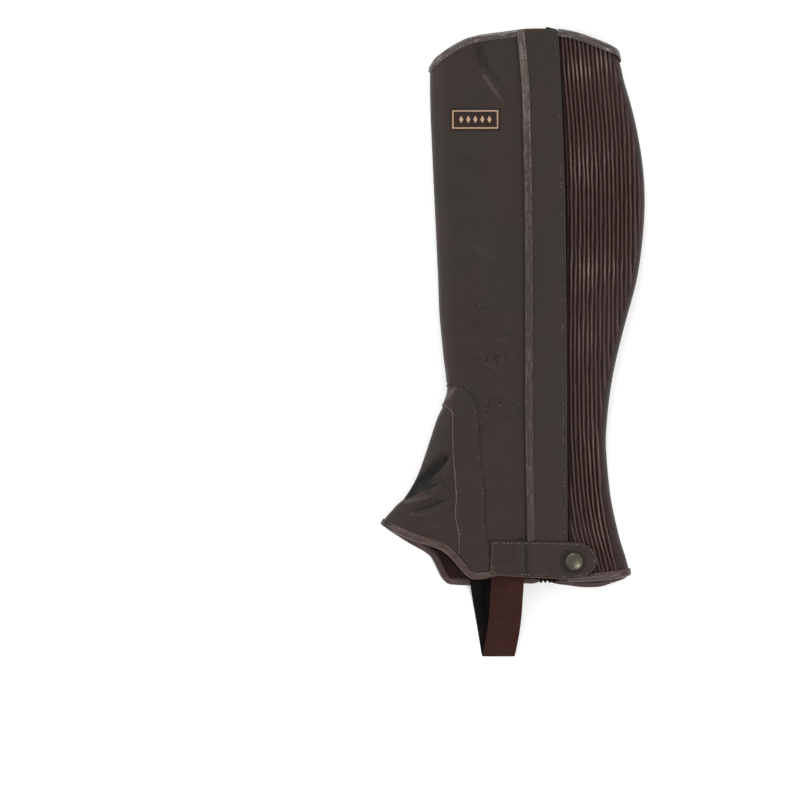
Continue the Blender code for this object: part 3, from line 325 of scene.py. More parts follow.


# %% [markdown]
# ## Soft folds and fine wrinkles
#
# Worn leather has a few long soft folds, short creases where the ankle bends, and patches of
# fine crackle where it creases again and again. Simulated cloth folds evenly all over, which
# leather doesn't. So each fold is placed as a line with its own width and depth: a
# depth above zero is a trough, and one below zero a ridge. The same relief lies under every
# layer, so the overlays follow the leather that they are sewn on.

# %% Relief of the leather
FOLDS = table("side start_x start_height end_x end_height bow half_width depth", (
    (1, -28.5, 434, -25, 402, 0, 7.5, 0.85), (1, -34, 418, -5, 376.5, 0, 2.8, -0.85),
    (1, -25, 416, -2, 385, 0, 4.0, 0.75), (1, -23, 427, -20, 400, 0.6, 1.4, 0.30),
    (1, -19.5, 425, -17, 397, 0.5, 1.3, 0.26), (1, -34, 423, -22, 420.5, 0.2, 1.4, 0.35),
    (1, -38, 417, -28, 416, 0.2, 1.3, 0.35), (1, -36, 412.8, -29, 411.6, 0.2, 1.4, 0.15),
    (1, -52, 343, -18, 320, 2, 9, 0.40), (1, -44, 270, -4, 249, 2, 10, -0.35),
    (1, -50, 216, -18, 201, -2, 7, 0.40), (1, -33, 196, -6, 179, 1.5, 5, 0.45),
    (1, -30, 178, -11, 167.5, -1, 4, -0.30), (1, -38, 155, -18, 146, 1, 2, 0.45),
    (1, -31, 146.5, -13, 141, 0.8, 1.5, 0.40), (1, -16, 142, 0, 138, 0.5, 1.6, 0.50),
    (1, -25, 138, -6, 132, -0.6, 1.5, 0.40), (1, -28, 132, -18, 120, 0.6, 1.7, 0.40),
    (1, -46, 156.5, -53.5, 142, 0, 3, -0.55), (1, -39, 153, -49, 139, 0.5, 2.2, 0.50),
    (1, -50.5, 101, -72, 78, 0.8, 2.3, 1.60), (1, -58, 93, -92, 62.5, 0.5, 4.2, 1.60),
    (1, -62, 84, -97, 61, -1, 7, 1.60), (1, -56, 88.5, -68, 77, 0.5, 1.5, 0.75),
    (1, -64, 77, -88, 64, -0.5, 3.4, 1.60), (1, -62, 76.5, -73, 71.5, 0.4, 1.4, 0.70),
    (1, -57, 80, -66, 73, 0.3, 1.3, 0.55), (1, -65, 55.8, -77, 53.2, 0.3, 1.4, 0.60),
    (1, -47, 67.5, -80.5, 55, 1.4, 1.7, 0.95), (1, -51, 65, -63, 61.4, -0.3, 1.4, 0.60),
    (1, -94, 59, -64, 67, 0.6, 2.6, -0.75), (1, -58, 86.5, -74, 74.5, 0.6, 2.4, -0.40),
    (1, -82, 51, -98, 51, 0, 4, 0.35), (1, -54, 45, -74, 39.5, 0, 5, -0.30),
    (1, 42, 395, 72, 402, 0, 1.9, 0.60), (1, 44, 226.5, 97, 230.5, 0, 2, 0.50),
    (-1, -44, 150, -12, 142, 1, 3, 0.50), (-1, -38, 138, 4, 131, 1, 2.4, 0.40),
    (-1, -50, 118, -34, 112, 0.5, 3, 0.40), (-1, -56, 94, -84, 74, 1.5, 5, 1.10),
    (-1, -60, 68, -90, 59, -1.5, 4, 0.90), (-1, -50, 394, -16, 370, 2, 5, 0.50),
    (-1, 64, 380, 36, 398, -2, 5, 0.45), (-1, -46, 255, -40, 208, 1.5, 5, 0.40)),
    ratios="side")
CRACKLE = table("side x height half_width half_height amount", (
    (1, -29, 219, 8, 5, 0.9), (1, -10, 195, 10, 5, 0.8), (1, -20, 176, 20, 10, 1.1),
    (1, -27, 205, 9, 6, 0.8), (1, -16, 137, 22, 9, 1.2), (1, -25, 124, 9, 8, 1.0),
    (1, -27, 417, 9, 11, 1.2), (1, -15, 385, 14, 10, 0.5), (1, -66, 74, 13, 13, 1.4),
    (1, -80, 54, 14, 8, 0.8), (1, -50, 66, 8, 10, 0.8), (1, -46, 112, 10, 16, 0.5),
    (1, -42, 300, 10, 20, 0.3), (-1, -20, 138, 30, 12, 1.0), (-1, -62, 78, 20, 20, 0.8),
    (-1, 40, 360, 24, 20, 0.5)), ratios="side amount")
# Painted highlight bands on the ribs: soft elliptical spots, each with its side, place, size and
# amount.
PAINTED_SHINE = table("side x height half_width half_height amount", (
    (1, 55, 408, 16, 9, 1.0), (1, 72, 414, 10, 8, 0.8), (1, 56, 330, 13, 15, 0.9),
    (1, 74, 337, 12, 12, 0.45), (1, 60, 247, 17, 13, 0.95), (1, 78, 248, 12, 10, 0.6),
    (1, 58, 196, 14, 16, 0.4), (1, 64, 110, 12, 30, 0.35), (1, 72, 46, 14, 24, 0.5)),
    ratios="side amount")


def same_side(angle, side):
    """1 well inside that side of the chap, fading to 0 at the two folds."""
    return ramp(np.sin(angle) * side, 0.0, 0.25)


def relief(angle, height):
    """How far the folds sink the leather into the leg: the sum of cosine troughs, each of
    which fades towards both of its ends."""
    x = width_at(angle, height)
    sink = np.zeros_like(x + height)
    for i in range(len(FOLDS["depth"])):
        distance, along = away_from(x, height, FOLDS, i)
        sink += (FOLDS["depth"][i] * trough(distance, FOLDS["half_width"][i])
                 * np.sin(HALF_TURN * along) ** 0.6 * same_side(angle, FOLDS["side"][i]))
    waves = (np.sin(height / (31 * MM) + 1.3) * np.sin(x / (23 * MM) + 0.4)
             + 0.6 * np.sin(height / (17 * MM) - x / (40 * MM)))
    return sink + 0.11 * MM * (waves + 1.6) * np.abs(np.sin(angle))


def patches(table_of, angle, height):
    """Highest of the soft elliptical spots that a table places."""
    x = width_at(angle, height)
    most = np.zeros_like(x + height)
    for i in range(len(table_of["x"])):
        away = (((x - table_of["x"][i]) / table_of["half_width"][i]) ** 2
                + ((height - table_of["height"][i]) / table_of["half_height"][i]) ** 2)
        most = np.maximum(most, table_of["amount"][i] * np.exp(-away)
                          * same_side(angle, table_of["side"][i]))
    return most


def crackle(angle, height):
    """0 on smooth leather, rising to 1 in the worn patches."""
    return patches(CRACKLE, angle, height)


def fold_shade_mark(angle, height):
    """How deep in a fold each point is, in millimetres; below zero on a ridge. The big creases
    count for more. The leather finishes paint shade into the deep folds from it, and a paler
    highlight onto the ridges.
    """
    deep = crease_depth(width_at(angle, height), height) * same_side(angle, 1)
    return (relief(angle, height) - 0.17 * MM + 0.45 * deep) / MM


def place(angle, height, offset):
    """Point at an offset from the wall's middle, sunk by the folds."""
    out = np.asarray(offset - relief(angle, height))[..., None]
    return wall(angle, height) + normal(angle, height) * out


print("folds placed by hand:", len(FOLDS["depth"]))


# %% Cut lines of the pattern
def edge_at(outer_edge, inner_edge, x, angle):
    """Height of an edge's outer line at x, on the side that the angle is on."""
    return np.where(np.sin(angle) >= 0, follow(outer_edge, x), follow(inner_edge, x))


def hem(angle, height):
    """Lower edge of the leather, inside its binding."""
    return edge_at(OUTER_HEM, INNER_HEM, width_at(angle, height), angle) + BINDING_REACH


def rim(angle, height):
    """Upper edge of the leather, inside its binding."""
    return edge_at(OUTER_RIM, INNER_RIM, width_at(angle, height), angle) - BINDING_REACH


def above_hem_binding(angle, height):
    """Line just over the hem's binding, whose width counts for more where it slopes."""
    x, step = width_at(angle, height), 0.5 * MM
    slope = (edge_at(OUTER_HEM, INNER_HEM, x + step, angle)
             - edge_at(OUTER_HEM, INNER_HEM, x - step, angle)) / (2 * step)
    reach = BINDING_REACH + BINDING_LEG + 2 * GAP
    return edge_at(OUTER_HEM, INNER_HEM, x, angle) + reach * np.sqrt(1 + slope * slope)


ROUNDS = 30


def settle(line, edge, start):
    """Height where a line meets an edge, found by following one and then the other."""
    height = np.asarray(start, dtype=float)
    for _ in range(ROUNDS):
        height = edge(line(height), height)
    return height


def line_at(lines, side):
    """Line on a panel from its table of places across the chap."""
    return lambda height: angle_at(follow(lines, height), height, side)


def plain_line(x):
    """Line on the outer side that keeps its place across the chap."""
    return lambda height: angle_at(x + 0 * height, height, 1)


def gusset_outer(height):
    """Gusset's seam on the outer side, which keeps its angle above the ankle."""
    return line_at(GUSSET_SEAM_OUTER, 1)(np.minimum(height, ANKLE))


def gusset_inner(height):
    """Gusset's seam on the inner side, which keeps its angle above the ankle."""
    return line_at(GUSSET_SEAM_INNER, -1)(np.minimum(height, ANKLE))


def arch(angle, gap):
    """Top of the gusset: a parabola between its two seams, level beyond them."""
    outer, inner = gusset_outer(ANKLE), gusset_inner(ANKLE)
    share = (angle - (outer + inner) / 2) / ((outer - inner) / 2)
    return ANKLE + gap + ARCH_RISE * np.clip(1 - share * share, 0, 1)


def panel_front(height):
    """Front edge of the ribbed panel, under the flap."""
    return angle_at(follow(FLAP_BACK, height) - PANEL_UNDER_FLAP, height, 1)


def strip_seam_outer(height):
    """Seam between the ribbed panel and the back strip, a little in from the back fold."""
    return angle_at(outline(height)[1] - follow(STRIP_OUTER_WIDTH, height), height, 1)


def strip_seam_inner(height):
    """Seam between the leg panel and the back strip, as an angle past the back fold."""
    x = outline(height)[1] - follow(STRIP_INNER_WIDTH, height)
    return 2 * HALF_TURN + angle_at(x, height, -1)


def leg_back(height):
    """The same seam as an angle back from the shin's fold, along the inner side."""
    return strip_seam_inner(height) - 2 * HALF_TURN


def shifted(line, distance):
    """Line moved across the chap by a distance along the wall."""
    def moved(height):
        """Angle of the line, and the distance as a share of what one radian is long."""
        angle = line(height)
        return angle + distance / np.linalg.norm(slopes_of(angle, height)[0], axis=-1)
    return moved


def between(lines, stops, column, height):
    """Angle at a column: the lines hold the columns in stops, the rest share the space."""
    angles = [line(height) for line in lines]
    angle = angles[0] + 0 * column
    for i in range(len(stops) - 1):
        share = np.clip((column - stops[i]) / (stops[i + 1] - stops[i]), 0, 1)
        angle = np.where(column >= stops[i], angles[i] + share * (angles[i + 1] - angles[i]),
                         angle)
    return angle


# %% [markdown]
# ## From a grid of points to a piece of leather
#
# A cut of leather is a closed wall: a face outside, a face inside, and its thickness along
# the edge. The Solidify modifier could make it, but then the folds, the rounded edges and
# the rows of sewing would have the same shape on both faces. So both faces are worked out as
# grids of points, and one function joins them round their edge. It finds the edge by itself,
# as the sides of squares that no other square shares, so a grid may also have a notch.


def in_scene(name, data):
    """New object from its data, linked into the scene."""
    thing = bpy.data.objects.new(name, data)
    bpy.context.scene.collection.objects.link(thing)
    return thing


def mesh_piece(name, points, faces, look, nodes=(), uv=None, marks=None, sharp=50):
    """Object from arrays: points, faces, the look, a map of the flat cut and point marks."""
    mesh = bpy.data.meshes.new(name)
    mesh.from_pydata(points.tolist(), [], faces)
    corners = np.empty(len(mesh.loops), dtype=np.int32)
    mesh.loops.foreach_get("vertex_index", corners)
    if uv is not None:
        mesh.uv_layers.new(name="cut").data.foreach_set("uv", uv[corners].ravel())
    for mark, values in (marks or {}).items():
        mesh.attributes.new(mark, "FLOAT", "POINT").data.foreach_set("value", values)
    mesh.materials.append(look)
    mesh.shade_smooth()
    mesh.set_sharp_from_angle(angle=math.radians(sharp))
    piece = in_scene(name, mesh)
    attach(piece, "root")
    if nodes:
        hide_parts(*nodes)
    return piece


def travelled(points, axis):
    """Distance run along one direction of a grid of points, from its first line."""
    steps = np.linalg.norm(np.diff(points, axis=axis), axis=-1)
    start = np.zeros_like(np.take(steps, [0], axis=axis))
    return np.concatenate([start, np.cumsum(steps, axis=axis)], axis=axis)


def shell(name, outer, inner, look, slot, nodes=(), keep=None, sharp=50, **marks):
    """Closed wall between two grids of points. Its map of the flat cut, in metres, is the
    distance run along each direction of the outer grid."""
    rows, columns = outer.shape[:2]
    count = rows * columns
    index = np.arange(count).reshape(rows, columns)
    quads = np.stack([index[:-1, :-1], index[:-1, 1:], index[1:, 1:], index[1:, :-1]], axis=-1)
    quads = quads.reshape(-1, 4) if keep is None else quads[keep]
    start, end = quads.ravel(), np.roll(quads, -1, axis=1).ravel()
    open_edge = ~np.isin(start * count + end, end * count + start)
    start, end = start[open_edge], end[open_edge]
    sides = np.stack([end, start, start + count, end + count], axis=-1)
    faces = np.concatenate([quads, quads[:, ::-1] + count, sides])
    points = np.concatenate([outer.reshape(-1, 3), inner.reshape(-1, 3)])
    used, faces = np.unique(faces, return_inverse=True)
    faces = faces.reshape(-1, 4)
    a, b, c, d = (points[used][faces[:, i]] for i in range(4))
    volume = np.sum(np.cross(a, b) * c) + np.sum(np.cross(a, c) * d)
    if volume < 0:
        faces = faces[:, ::-1]
    uv = np.stack([travelled(outer, 1), travelled(outer, 0)], axis=-1).reshape(-1, 2)
    both = {mark: np.tile((values + 0 * outer[..., 0]).ravel(), 2)[used]
            for mark, values in marks.items()}
    both["inside"] = np.repeat([0.0, 1.0], count)[used]
    piece = mesh_piece(name, points[used], faces.tolist(), look, nodes,
                       np.tile(uv, (2, 1))[used], both, sharp)
    return piece


def stations(width, step, edge=(0, 0.1, 0.25, 0.5, 0.9, 1.4, 1.9, 2.4, 2.9, 3.5)):
    """Shares from 0 to 1 along a width: close together at both ends, even between them."""
    ends = np.array(edge) * MM / width
    middle = np.linspace(ends[-1], 1 - ends[-1], max(int(width / step), 2))[1:-1]
    return np.concatenate([ends, middle, 1 - ends[::-1]])


def even_runs(stops, counts):
    """Even steps from stop to stop, each run cut into its own count of steps."""
    runs = [np.linspace(stops[i], stops[i + 1], steps + 1)[:-1] for i, steps in enumerate(counts)]
    return np.concatenate(runs + [stops[-1:]])


def from_edge(points, sides="lrbt"):
    """Distance of each point of a grid from the nearest of its sides: left, right, bottom
    and top, measured along the grid."""
    across, along = travelled(points, 1), travelled(points, 0)
    distances = {"l": across, "r": across[:, -1:] - across, "b": along,
                 "t": along[-1:] - along}
    return np.min([distances[side] for side in sides], axis=0)


def rounded(distance, radius):
    """How far a cut edge falls away: a quarter circle of that radius."""
    share = 1 - np.clip(distance / radius, 0, 1)
    return radius * (1 - np.sqrt(1 - share * share))


def rubbing(distance, reach=0.9 * MM):
    """1 at a cut edge, fading to 0 at its reach."""
    return 1 - ramp(distance, 0.1 * MM, reach)


def furrow(distance, at, half_width=0.9 * MM, depth=0.22 * MM):
    """Dip that a row of sewing pulls into leather: a cosine trough at that distance."""
    return depth * trough(np.abs(distance - at), half_width)


def long_grid(lines, stops, columns, rows, bottom, top, middle=None):
    """Angles and heights of a long piece between its lines and its two edges. Rows below 1
    lie under the middle line, and rows from 1 to 2 over it."""
    def line(height):
        """Angle at every column."""
        return between(lines, stops, columns, height)
    low = settle(line, bottom, 0 * columns)
    high = settle(line, top, 0 * columns + NEAR_RIM)
    joint = ANKLE + 0 * columns if middle is None else settle(line, middle, 0 * columns + ANKLE)
    row = rows[:, None]
    height = low + (joint - low) * np.clip(row, 0, 1) + (high - joint) * np.clip(row - 1, 0, 1)
    return between(lines, stops, columns[None, :], height), height


# %% [markdown]
# ## Thread
#
# Sewing shows as a row of short rounded bars, each sunk at both ends where it goes into its
# hole. A painted dashed line would stay flat in a low view, and full curves would cost too
# many faces for well over a thousand stitches. Each stitch here is a small six-sided bar
# that tapers to a point at both ends, and all the stitches of one seam are one mesh, worked
# out at once along the seam's path.

# %% Stitches along a path
STITCH_PITCH = 3.1 * MM
STITCH_LENGTH = 2.3 * MM
THREAD_RADIUS = 0.3 * MM
STITCH_STOPS = np.array([-1, -0.82, -0.35, 0.35, 0.82, 1])
STITCH_SHARES = np.array([0, 0.8, 1, 1, 0.8, 0])


def stitch_arrays(path, out, pitch=STITCH_PITCH, length=STITCH_LENGTH, radius=THREAD_RADIUS):
    """Points of every stitch along a path, out being the leather's normal there. Between
    its two tips a stitch has four rings of six points; it is highest at its middle."""
    run = travelled(path[:, None], 0)[:, 0]
    count = max(int(run[-1] / pitch), 1)
    centre = (np.arange(count) + 0.5) * run[-1] / count
    at = centre[:, None] + STITCH_STOPS * length / 2

    def along(values):
        """Values read off at the stitches' places."""
        return np.stack([np.interp(at, run, values[:, i]) for i in range(3)], axis=-1)
    middle, up = along(path), unit(along(out))
    side = unit(np.cross(along(np.gradient(path, axis=0)), up))
    lift = radius * (0.25 - 1.3 * np.abs(STITCH_STOPS) ** 3)
    turn = np.arange(6) * HALF_TURN / 3
    reach = radius * STITCH_SHARES[:, None]
    ring = (middle[:, :, None] + up[:, :, None] * (lift[:, None] + reach * np.cos(turn))[..., None]
            + side[:, :, None] * (1.1 * reach * np.sin(turn))[..., None])
    body = ring[:, 1:5].reshape(count, 24, 3)
    tips = ring[:, [0, 5], 0]
    return np.concatenate([body, tips], axis=1)


def repeated(shapes, faces, start=0):
    """Faces of many copies of one form, turned over if they would point inwards. The
    volume under the faces of the first copy tells: it is above zero if they point out."""
    first, count = shapes[0], shapes.shape[1]
    volume = sum(np.dot(np.cross(first[face[0]], first[face[i]]), first[face[i + 1]])
                 for face in faces for i in range(1, len(face) - 1))
    if volume < 0:
        faces = [face[::-1] for face in faces]
    return [[start + count * k + corner for corner in face] for k in range(len(shapes))
            for face in faces]


def stitch_faces():
    """Faces of one stitch: three belts of six squares, and a fan of six at each tip."""
    faces = []
    for i in range(6):
        j = (i + 1) % 6
        faces += [[6 * k + i, 6 * k + j, 6 * k + 6 + j, 6 * k + 6 + i] for k in range(3)]
        faces += [[24, j, i], [25, 18 + i, 18 + j]]
    return faces


def sew(name, paths, look, slot, **sizes):
    """One mesh of all the stitches along several paths."""
    stitches = np.concatenate([stitch_arrays(path, out, **sizes) for path, out in paths])
    mesh_piece(name, stitches.reshape(-1, 3), repeated(stitches, stitch_faces()), look,
               sharp=180)
    print(f"{name}: {len(stitches)} stitches")


def path_on(angle, height, offset):
    """A path on the leather and the leather's normal along it."""
    return place(angle, height, offset), normal(angle, height)


# %% [markdown]
# ## Finishes
#
# Smooth leather isn't one colour: it has a fine pebbled grain, clouds of slightly redder and
# greener brown, dark wrinkles, and paler edges where it has been rubbed. Each of these is an
# effect that several materials need, so each is a node group, built once and placed in every
# material with its own values. All patterns read Object coordinates, or the map of the flat
# cut where they must follow the cloth, so they don't slide when the view changes. Light and
# shade are painted in as well: shade in the deep folds, and highlights on ridges, along the
# bindings and on the ribs' crests.


# %% Small helpers for shader nodes
def feed(tree, socket, value):
    """Links an output to a socket, or sets the socket's own value."""
    if isinstance(value, bpy.types.NodeSocket):
        tree.links.new(value, socket)
    elif socket.type == "RGBA":
        socket.default_value = (*value, 1.0)
    else:
        socket.default_value = value


def add(tree, kind, settings=None, **inputs):
    """Adds a node with its settings and named inputs."""
    node = tree.nodes.new("ShaderNode" + kind)
    for name, value in (settings or {}).items():
        setattr(node, name, value)
    for name, value in inputs.items():
        feed(tree, node.inputs[name.replace("_", " ")], value)
    return node


def calc(tree, operation, *values):
    """Result of a Math node."""
    node = add(tree, "Math", {"operation": operation})
    for socket, value in zip(node.inputs, values):
        feed(tree, socket, value)
    return node.outputs[0]


def times(tree, one, two):
    """Product of two values."""
    return calc(tree, "MULTIPLY", one, two)


def fit(tree, value, low, high, to_low=0.0, to_high=1.0):
    """Soft step that turns the range from low to high into another one."""
    node = add(tree, "MapRange", {"interpolation_type": "SMOOTHSTEP"}, Value=value,
               From_Min=low, From_Max=high, To_Min=to_low, To_Max=to_high)
    return node.outputs[0]


def mix(tree, share, one, two):
    """Colour between two colours."""
    node = add(tree, "Mix", {"data_type": "RGBA"})
    for i, value in ((0, share), (6, one), (7, two)):
        feed(tree, node.inputs[i], value)
    return node.outputs[2]


def noise(tree, where, scale, detail=2.0, roughness=0.5):
    """Value of a noise pattern with that many swells in a metre."""
    return add(tree, "TexNoise", Vector=where, Scale=scale, Detail=detail,
               Roughness=roughness).outputs[0]


def mark(tree, name):
    """Value of a point mark that the mesh carries."""
    return add(tree, "Attribute", {"attribute_name": name}).outputs["Fac"]


def spot(tree):
    """Object coordinates, in metres."""
    return add(tree, "TexCoord").outputs["Object"]


def up_leg(tree, where):
    """Place up the chap, in metres from the middle of the frame."""
    return add(tree, "SeparateXYZ", Vector=where).outputs["Y"]


def flat_cut(tree):
    """Place on the map of the flat cut, in metres."""
    return add(tree, "UVMap", {"uv_map": "cut"}).outputs[0]


def scaled(factor, colour):
    """The same hue, darker or paler."""
    return tuple(factor * value for value in colour)


def new_group(name, inputs, outputs):
    """Empty node group with named number or vector inputs and number outputs."""
    group = bpy.data.node_groups.new(name, "ShaderNodeTree")
    for label, kind in inputs.items():
        group.interface.new_socket(label, in_out="INPUT", socket_type="NodeSocket" + kind)
    for label in outputs:
        group.interface.new_socket(label, in_out="OUTPUT", socket_type="NodeSocketFloat")
    start, end = group.nodes.new("NodeGroupInput"), group.nodes.new("NodeGroupOutput")
    return group, start.outputs, end.inputs


def use(tree, group, **inputs):
    """Outputs of a group placed in a material."""
    return add(tree, "Group", {"node_tree": group}, **inputs).outputs


# %% Leather grain: pebbles, fine pores and crackle
grain, given, result = new_group(
    "leather_grain", {"Place": "Vector", "Pebbles": "Float", "Crackle": "Float"},
    ("Height", "Clouds", "Wrinkle", "Specks"))
pebbles = add(grain, "TexVoronoi", {"feature": "SMOOTH_F1"}, Vector=given["Place"],
              Scale=given["Pebbles"], Smoothness=0.5).outputs["Distance"]
pores = noise(grain, given["Place"], 2600, 2.0)
drift = add(grain, "TexNoise", Vector=given["Place"], Scale=260.0, Detail=2.0).outputs["Color"]
bent = add(grain, "VectorMath", {"operation": "MULTIPLY_ADD"})
feed(grain, bent.inputs[0], drift)
bent.inputs[1].default_value = (0.004, 0.004, 0.004)
feed(grain, bent.inputs[2], given["Place"])
cracks = add(grain, "TexVoronoi", {"feature": "DISTANCE_TO_EDGE"}, Vector=bent.outputs[0],
             Scale=215.0).outputs["Distance"]
broken = fit(grain, noise(grain, given["Place"], 190, 2.0), 0.42, 0.6)
lines_in = times(grain, fit(grain, cracks, 0.03, 0.17, 1.0, 0.0), broken)
wrinkle = times(grain, lines_in, given["Crackle"])
soft = calc(grain, "ADD", times(grain, pebbles, 0.55), times(grain, pores, 0.35))
feed(grain, result["Height"], calc(grain, "SUBTRACT", soft, times(grain, wrinkle, 2.6)))
feed(grain, result["Clouds"], fit(grain, noise(grain, given["Place"], 21, 3.0, 0.55), 0.32, 0.68))
feed(grain, result["Wrinkle"], wrinkle)
lips = times(grain, fit(grain, cracks, 0.10, 0.17), fit(grain, cracks, 0.22, 0.32, 1.0, 0.0))
flecks = fit(grain, noise(grain, given["Place"], 300, 2.0), 0.60, 0.72)
feed(grain, result["Specks"], times(grain, times(grain, lips, flecks), given["Crackle"]))

# %% Rubbed edges and painted sheen: where the edge mark is high, broken up by a noise
rubbed, given, result = new_group("rubbed_edges_and_sheen", {"Place": "Vector", "Edge": "Float"},
                                  ("Amount",))
patchy = noise(rubbed, given["Place"], 140, 3.0, 0.6)
feed(rubbed, result["Amount"], fit(rubbed, calc(rubbed, "ADD", given["Edge"], patchy), 0.75, 1.45))

# %% Weave: threads over and under each other, from the map of the flat cut
weave, given, result = new_group(
    "weave", {"Cut": "Vector", "Across": "Float", "Along": "Float"}, ("Height", "Thread"))
parts = add(weave, "SeparateXYZ", Vector=given["Cut"]).outputs
warp = times(weave, parts[0], given["Across"])
weft = times(weave, parts[1], given["Along"])
row_turn = times(weave, calc(weave, "FLOOR", warp), HALF_TURN)
over = calc(weave, "SINE", calc(weave, "ADD", times(weave, weft, 2 * HALF_TURN), row_turn))
round_warp = calc(weave, "SINE", times(weave, calc(weave, "FRACT", warp), HALF_TURN))
feed(weave, result["Height"],
     times(weave, round_warp, calc(weave, "MULTIPLY_ADD", over, 0.3, 0.7)))
feed(weave, result["Thread"], round_warp)


# %% Materials from the groups
def material(name, roughness, **constants):
    """Principled material; constants go straight to the shader's own sockets."""
    look = bpy.data.materials.new(name)
    look.use_nodes = True
    tree = look.node_tree
    shader = tree.nodes["Principled BSDF"]
    feed(tree, shader.inputs["Roughness"], roughness)
    for label, value in constants.items():
        shader.inputs[label.replace("_", " ")].default_value = value
    return look, tree, shader


def bump(tree, shader, height, strength, distance):
    """Feeds a height through a Bump node into the shader's normal."""
    feed(tree, shader.inputs["Normal"],
         add(tree, "Bump", Strength=strength, Distance=distance, Height=height).outputs[0])


# Near-black painted shade for deep folds. The rubbed brown serves rubbed edges and painted
# highlights.
PAINTED_FOLD_SHADE = (0.0026, 0.0028, 0.0022)
GREENER_UP = (-0.16, 0.06, 0.45, 1.0)
FLESH, BINDING_FLESH = (0.022, 0.0080, 0.0068), (0.030, 0.016, 0.013)
RUBBED_AND_HIGHLIGHT_BROWN = (0.108, 0.088, 0.076)


def leather(name, brown, cloud, worn=RUBBED_AND_HIGHLIGHT_BROWN, inside=FLESH, roughness=0.55, pebble=1300.0,
            depth=0.16 * MM, specular=0.22, coat=0.0, rub=0.6, highlight_streaks=0.0):
    """Leather: its brown and the second brown of its clouds, the paler brown of its rubbed edges,
    which also paints highlights, and the colour of its flesh side, which the inside mark shows.
    The clouds fade towards the hem, and a narrow strip may have a pale streaky painted highlight
    along it. The fold mark paints shade into deep folds and a paler highlight onto ridges."""
    look, tree, shader = material(name, roughness, Specular_IOR_Level=specular,
                                  Coat_Weight=coat, Coat_Roughness=0.3)
    where = spot(tree)
    skin = use(tree, grain, Place=where, Pebbles=pebble, Crackle=mark(tree, "worn"))
    edge = use(tree, rubbed, Place=where, Edge=mark(tree, "edge"))["Amount"]
    greener = times(tree, skin["Clouds"], fit(tree, up_leg(tree, where), *GREENER_UP))
    tone = mix(tree, greener, brown, cloud)
    fold = mark(tree, "fold")
    # Painted highlight: the ridges of folds turn paler.
    tone = mix(tree, fit(tree, fold, -0.20, -0.75, 0.0, 0.30), tone, worn)
    tone = mix(tree, times(tree, skin["Wrinkle"], 0.80), tone, scaled(0.25, brown))
    tone = mix(tree, times(tree, skin["Specks"], 0.6), tone, worn)
    # Painted highlight: pale streaky bands along a narrow strip.
    if highlight_streaks:
        cut = add(tree, "Mapping", Scale=(620.0, 75.0, 1.0), Vector=flat_cut(tree)).outputs[0]
        tone = mix(tree, fit(tree, noise(tree, cut, 1.0, 3.0, 0.65), 0.50, 0.76, 0.0, highlight_streaks),
                   tone, worn)
    tone = mix(tree, times(tree, edge, rub), tone, worn)
    # Painted shade: deep folds turn nearly black.
    tone = mix(tree, fit(tree, fold, 0.10, 1.35, 0.0, 0.94), tone, PAINTED_FOLD_SHADE)
    nap = noise(tree, where, 420, 4.0, 0.7)
    flesh = mix(tree, nap, scaled(0.7, inside), inside)
    feed(tree, shader.inputs["Base Color"], mix(tree, mark(tree, "inside"), tone, flesh))
    rough = calc(tree, "ADD", times(tree, skin["Clouds"], 0.08), roughness - 0.04)
    rough = calc(tree, "ADD", rough, times(tree, mark(tree, "inside"), 0.92 - roughness))
    feed(tree, shader.inputs["Roughness"], calc(tree, "MINIMUM", rough, 0.95))
    bump(tree, shader, skin["Height"], 0.6, depth)
    return look


leg_look = leather("leg_leather", (0.0275, 0.0150, 0.0125), (0.0210, 0.0172, 0.0118), rub=0.25)
flare_look = leather("flare_leather", (0.0260, 0.0150, 0.0122), (0.0200, 0.0172, 0.0122),
                     rub=0.25)
band_look = leather("band_leather", (0.0265, 0.0152, 0.0125), (0.0215, 0.0168, 0.0122),
                    (0.190, 0.150, 0.128))
patch_look = leather("patch_leather", (0.0250, 0.0170, 0.0140), (0.0215, 0.0165, 0.0128),
                     roughness=0.68, pebble=1700.0, rub=0.5)
strip_look = leather("strip_leather", (0.0290, 0.0170, 0.0145), (0.0250, 0.0170, 0.0135),
                     roughness=0.5, rub=0.3)
flap_look = leather("flap_leather", (0.0262, 0.0155, 0.0123), (0.0215, 0.0165, 0.0118), rub=0.3)
tab_look = leather("tab_leather", (0.0258, 0.0142, 0.0113), (0.0216, 0.0148, 0.0111),
                   (0.140, 0.085, 0.055), roughness=0.5)
# The bindings' pale streaky bands are painted highlights.
binding_look = leather("edge_binding_leather", (0.0350, 0.0205, 0.0172),
                       (0.0290, 0.0195, 0.0158), (0.280, 0.232, 0.214), BINDING_FLESH,
                       roughness=0.30, pebble=520.0, depth=0.25 * MM, specular=0.6,
                       coat=0.3, rub=0.2, highlight_streaks=0.75)
hem_binding_look = leather("hem_binding_leather", (0.0490, 0.0260, 0.0220),
                           (0.0400, 0.0235, 0.0195), (0.190, 0.128, 0.112), BINDING_FLESH,
                           roughness=0.34, pebble=520.0, depth=0.25 * MM, specular=0.34,
                           coat=0.06, rub=0.25, highlight_streaks=0.60)
flap_binding_look = leather("flap_binding_leather", (0.0400, 0.0220, 0.0180),
                            (0.0300, 0.0190, 0.0150), (0.230, 0.180, 0.162), BINDING_FLESH,
                            roughness=0.42, pebble=620.0, depth=0.25 * MM, specular=0.35,
                            coat=0.05, rub=0.28, highlight_streaks=0.45)
print("leather finishes:", len([m for m in bpy.data.materials if "leather" in m.name]))

# %% Ribs, thread, cloth and metal
rib_look, tree, shader = material("rib_leather", 0.45, Specular_IOR_Level=0.22)
where = spot(tree)
skin = use(tree, grain, Place=where, Pebbles=1500.0, Crackle=0.25)
crest = mark(tree, "crest")
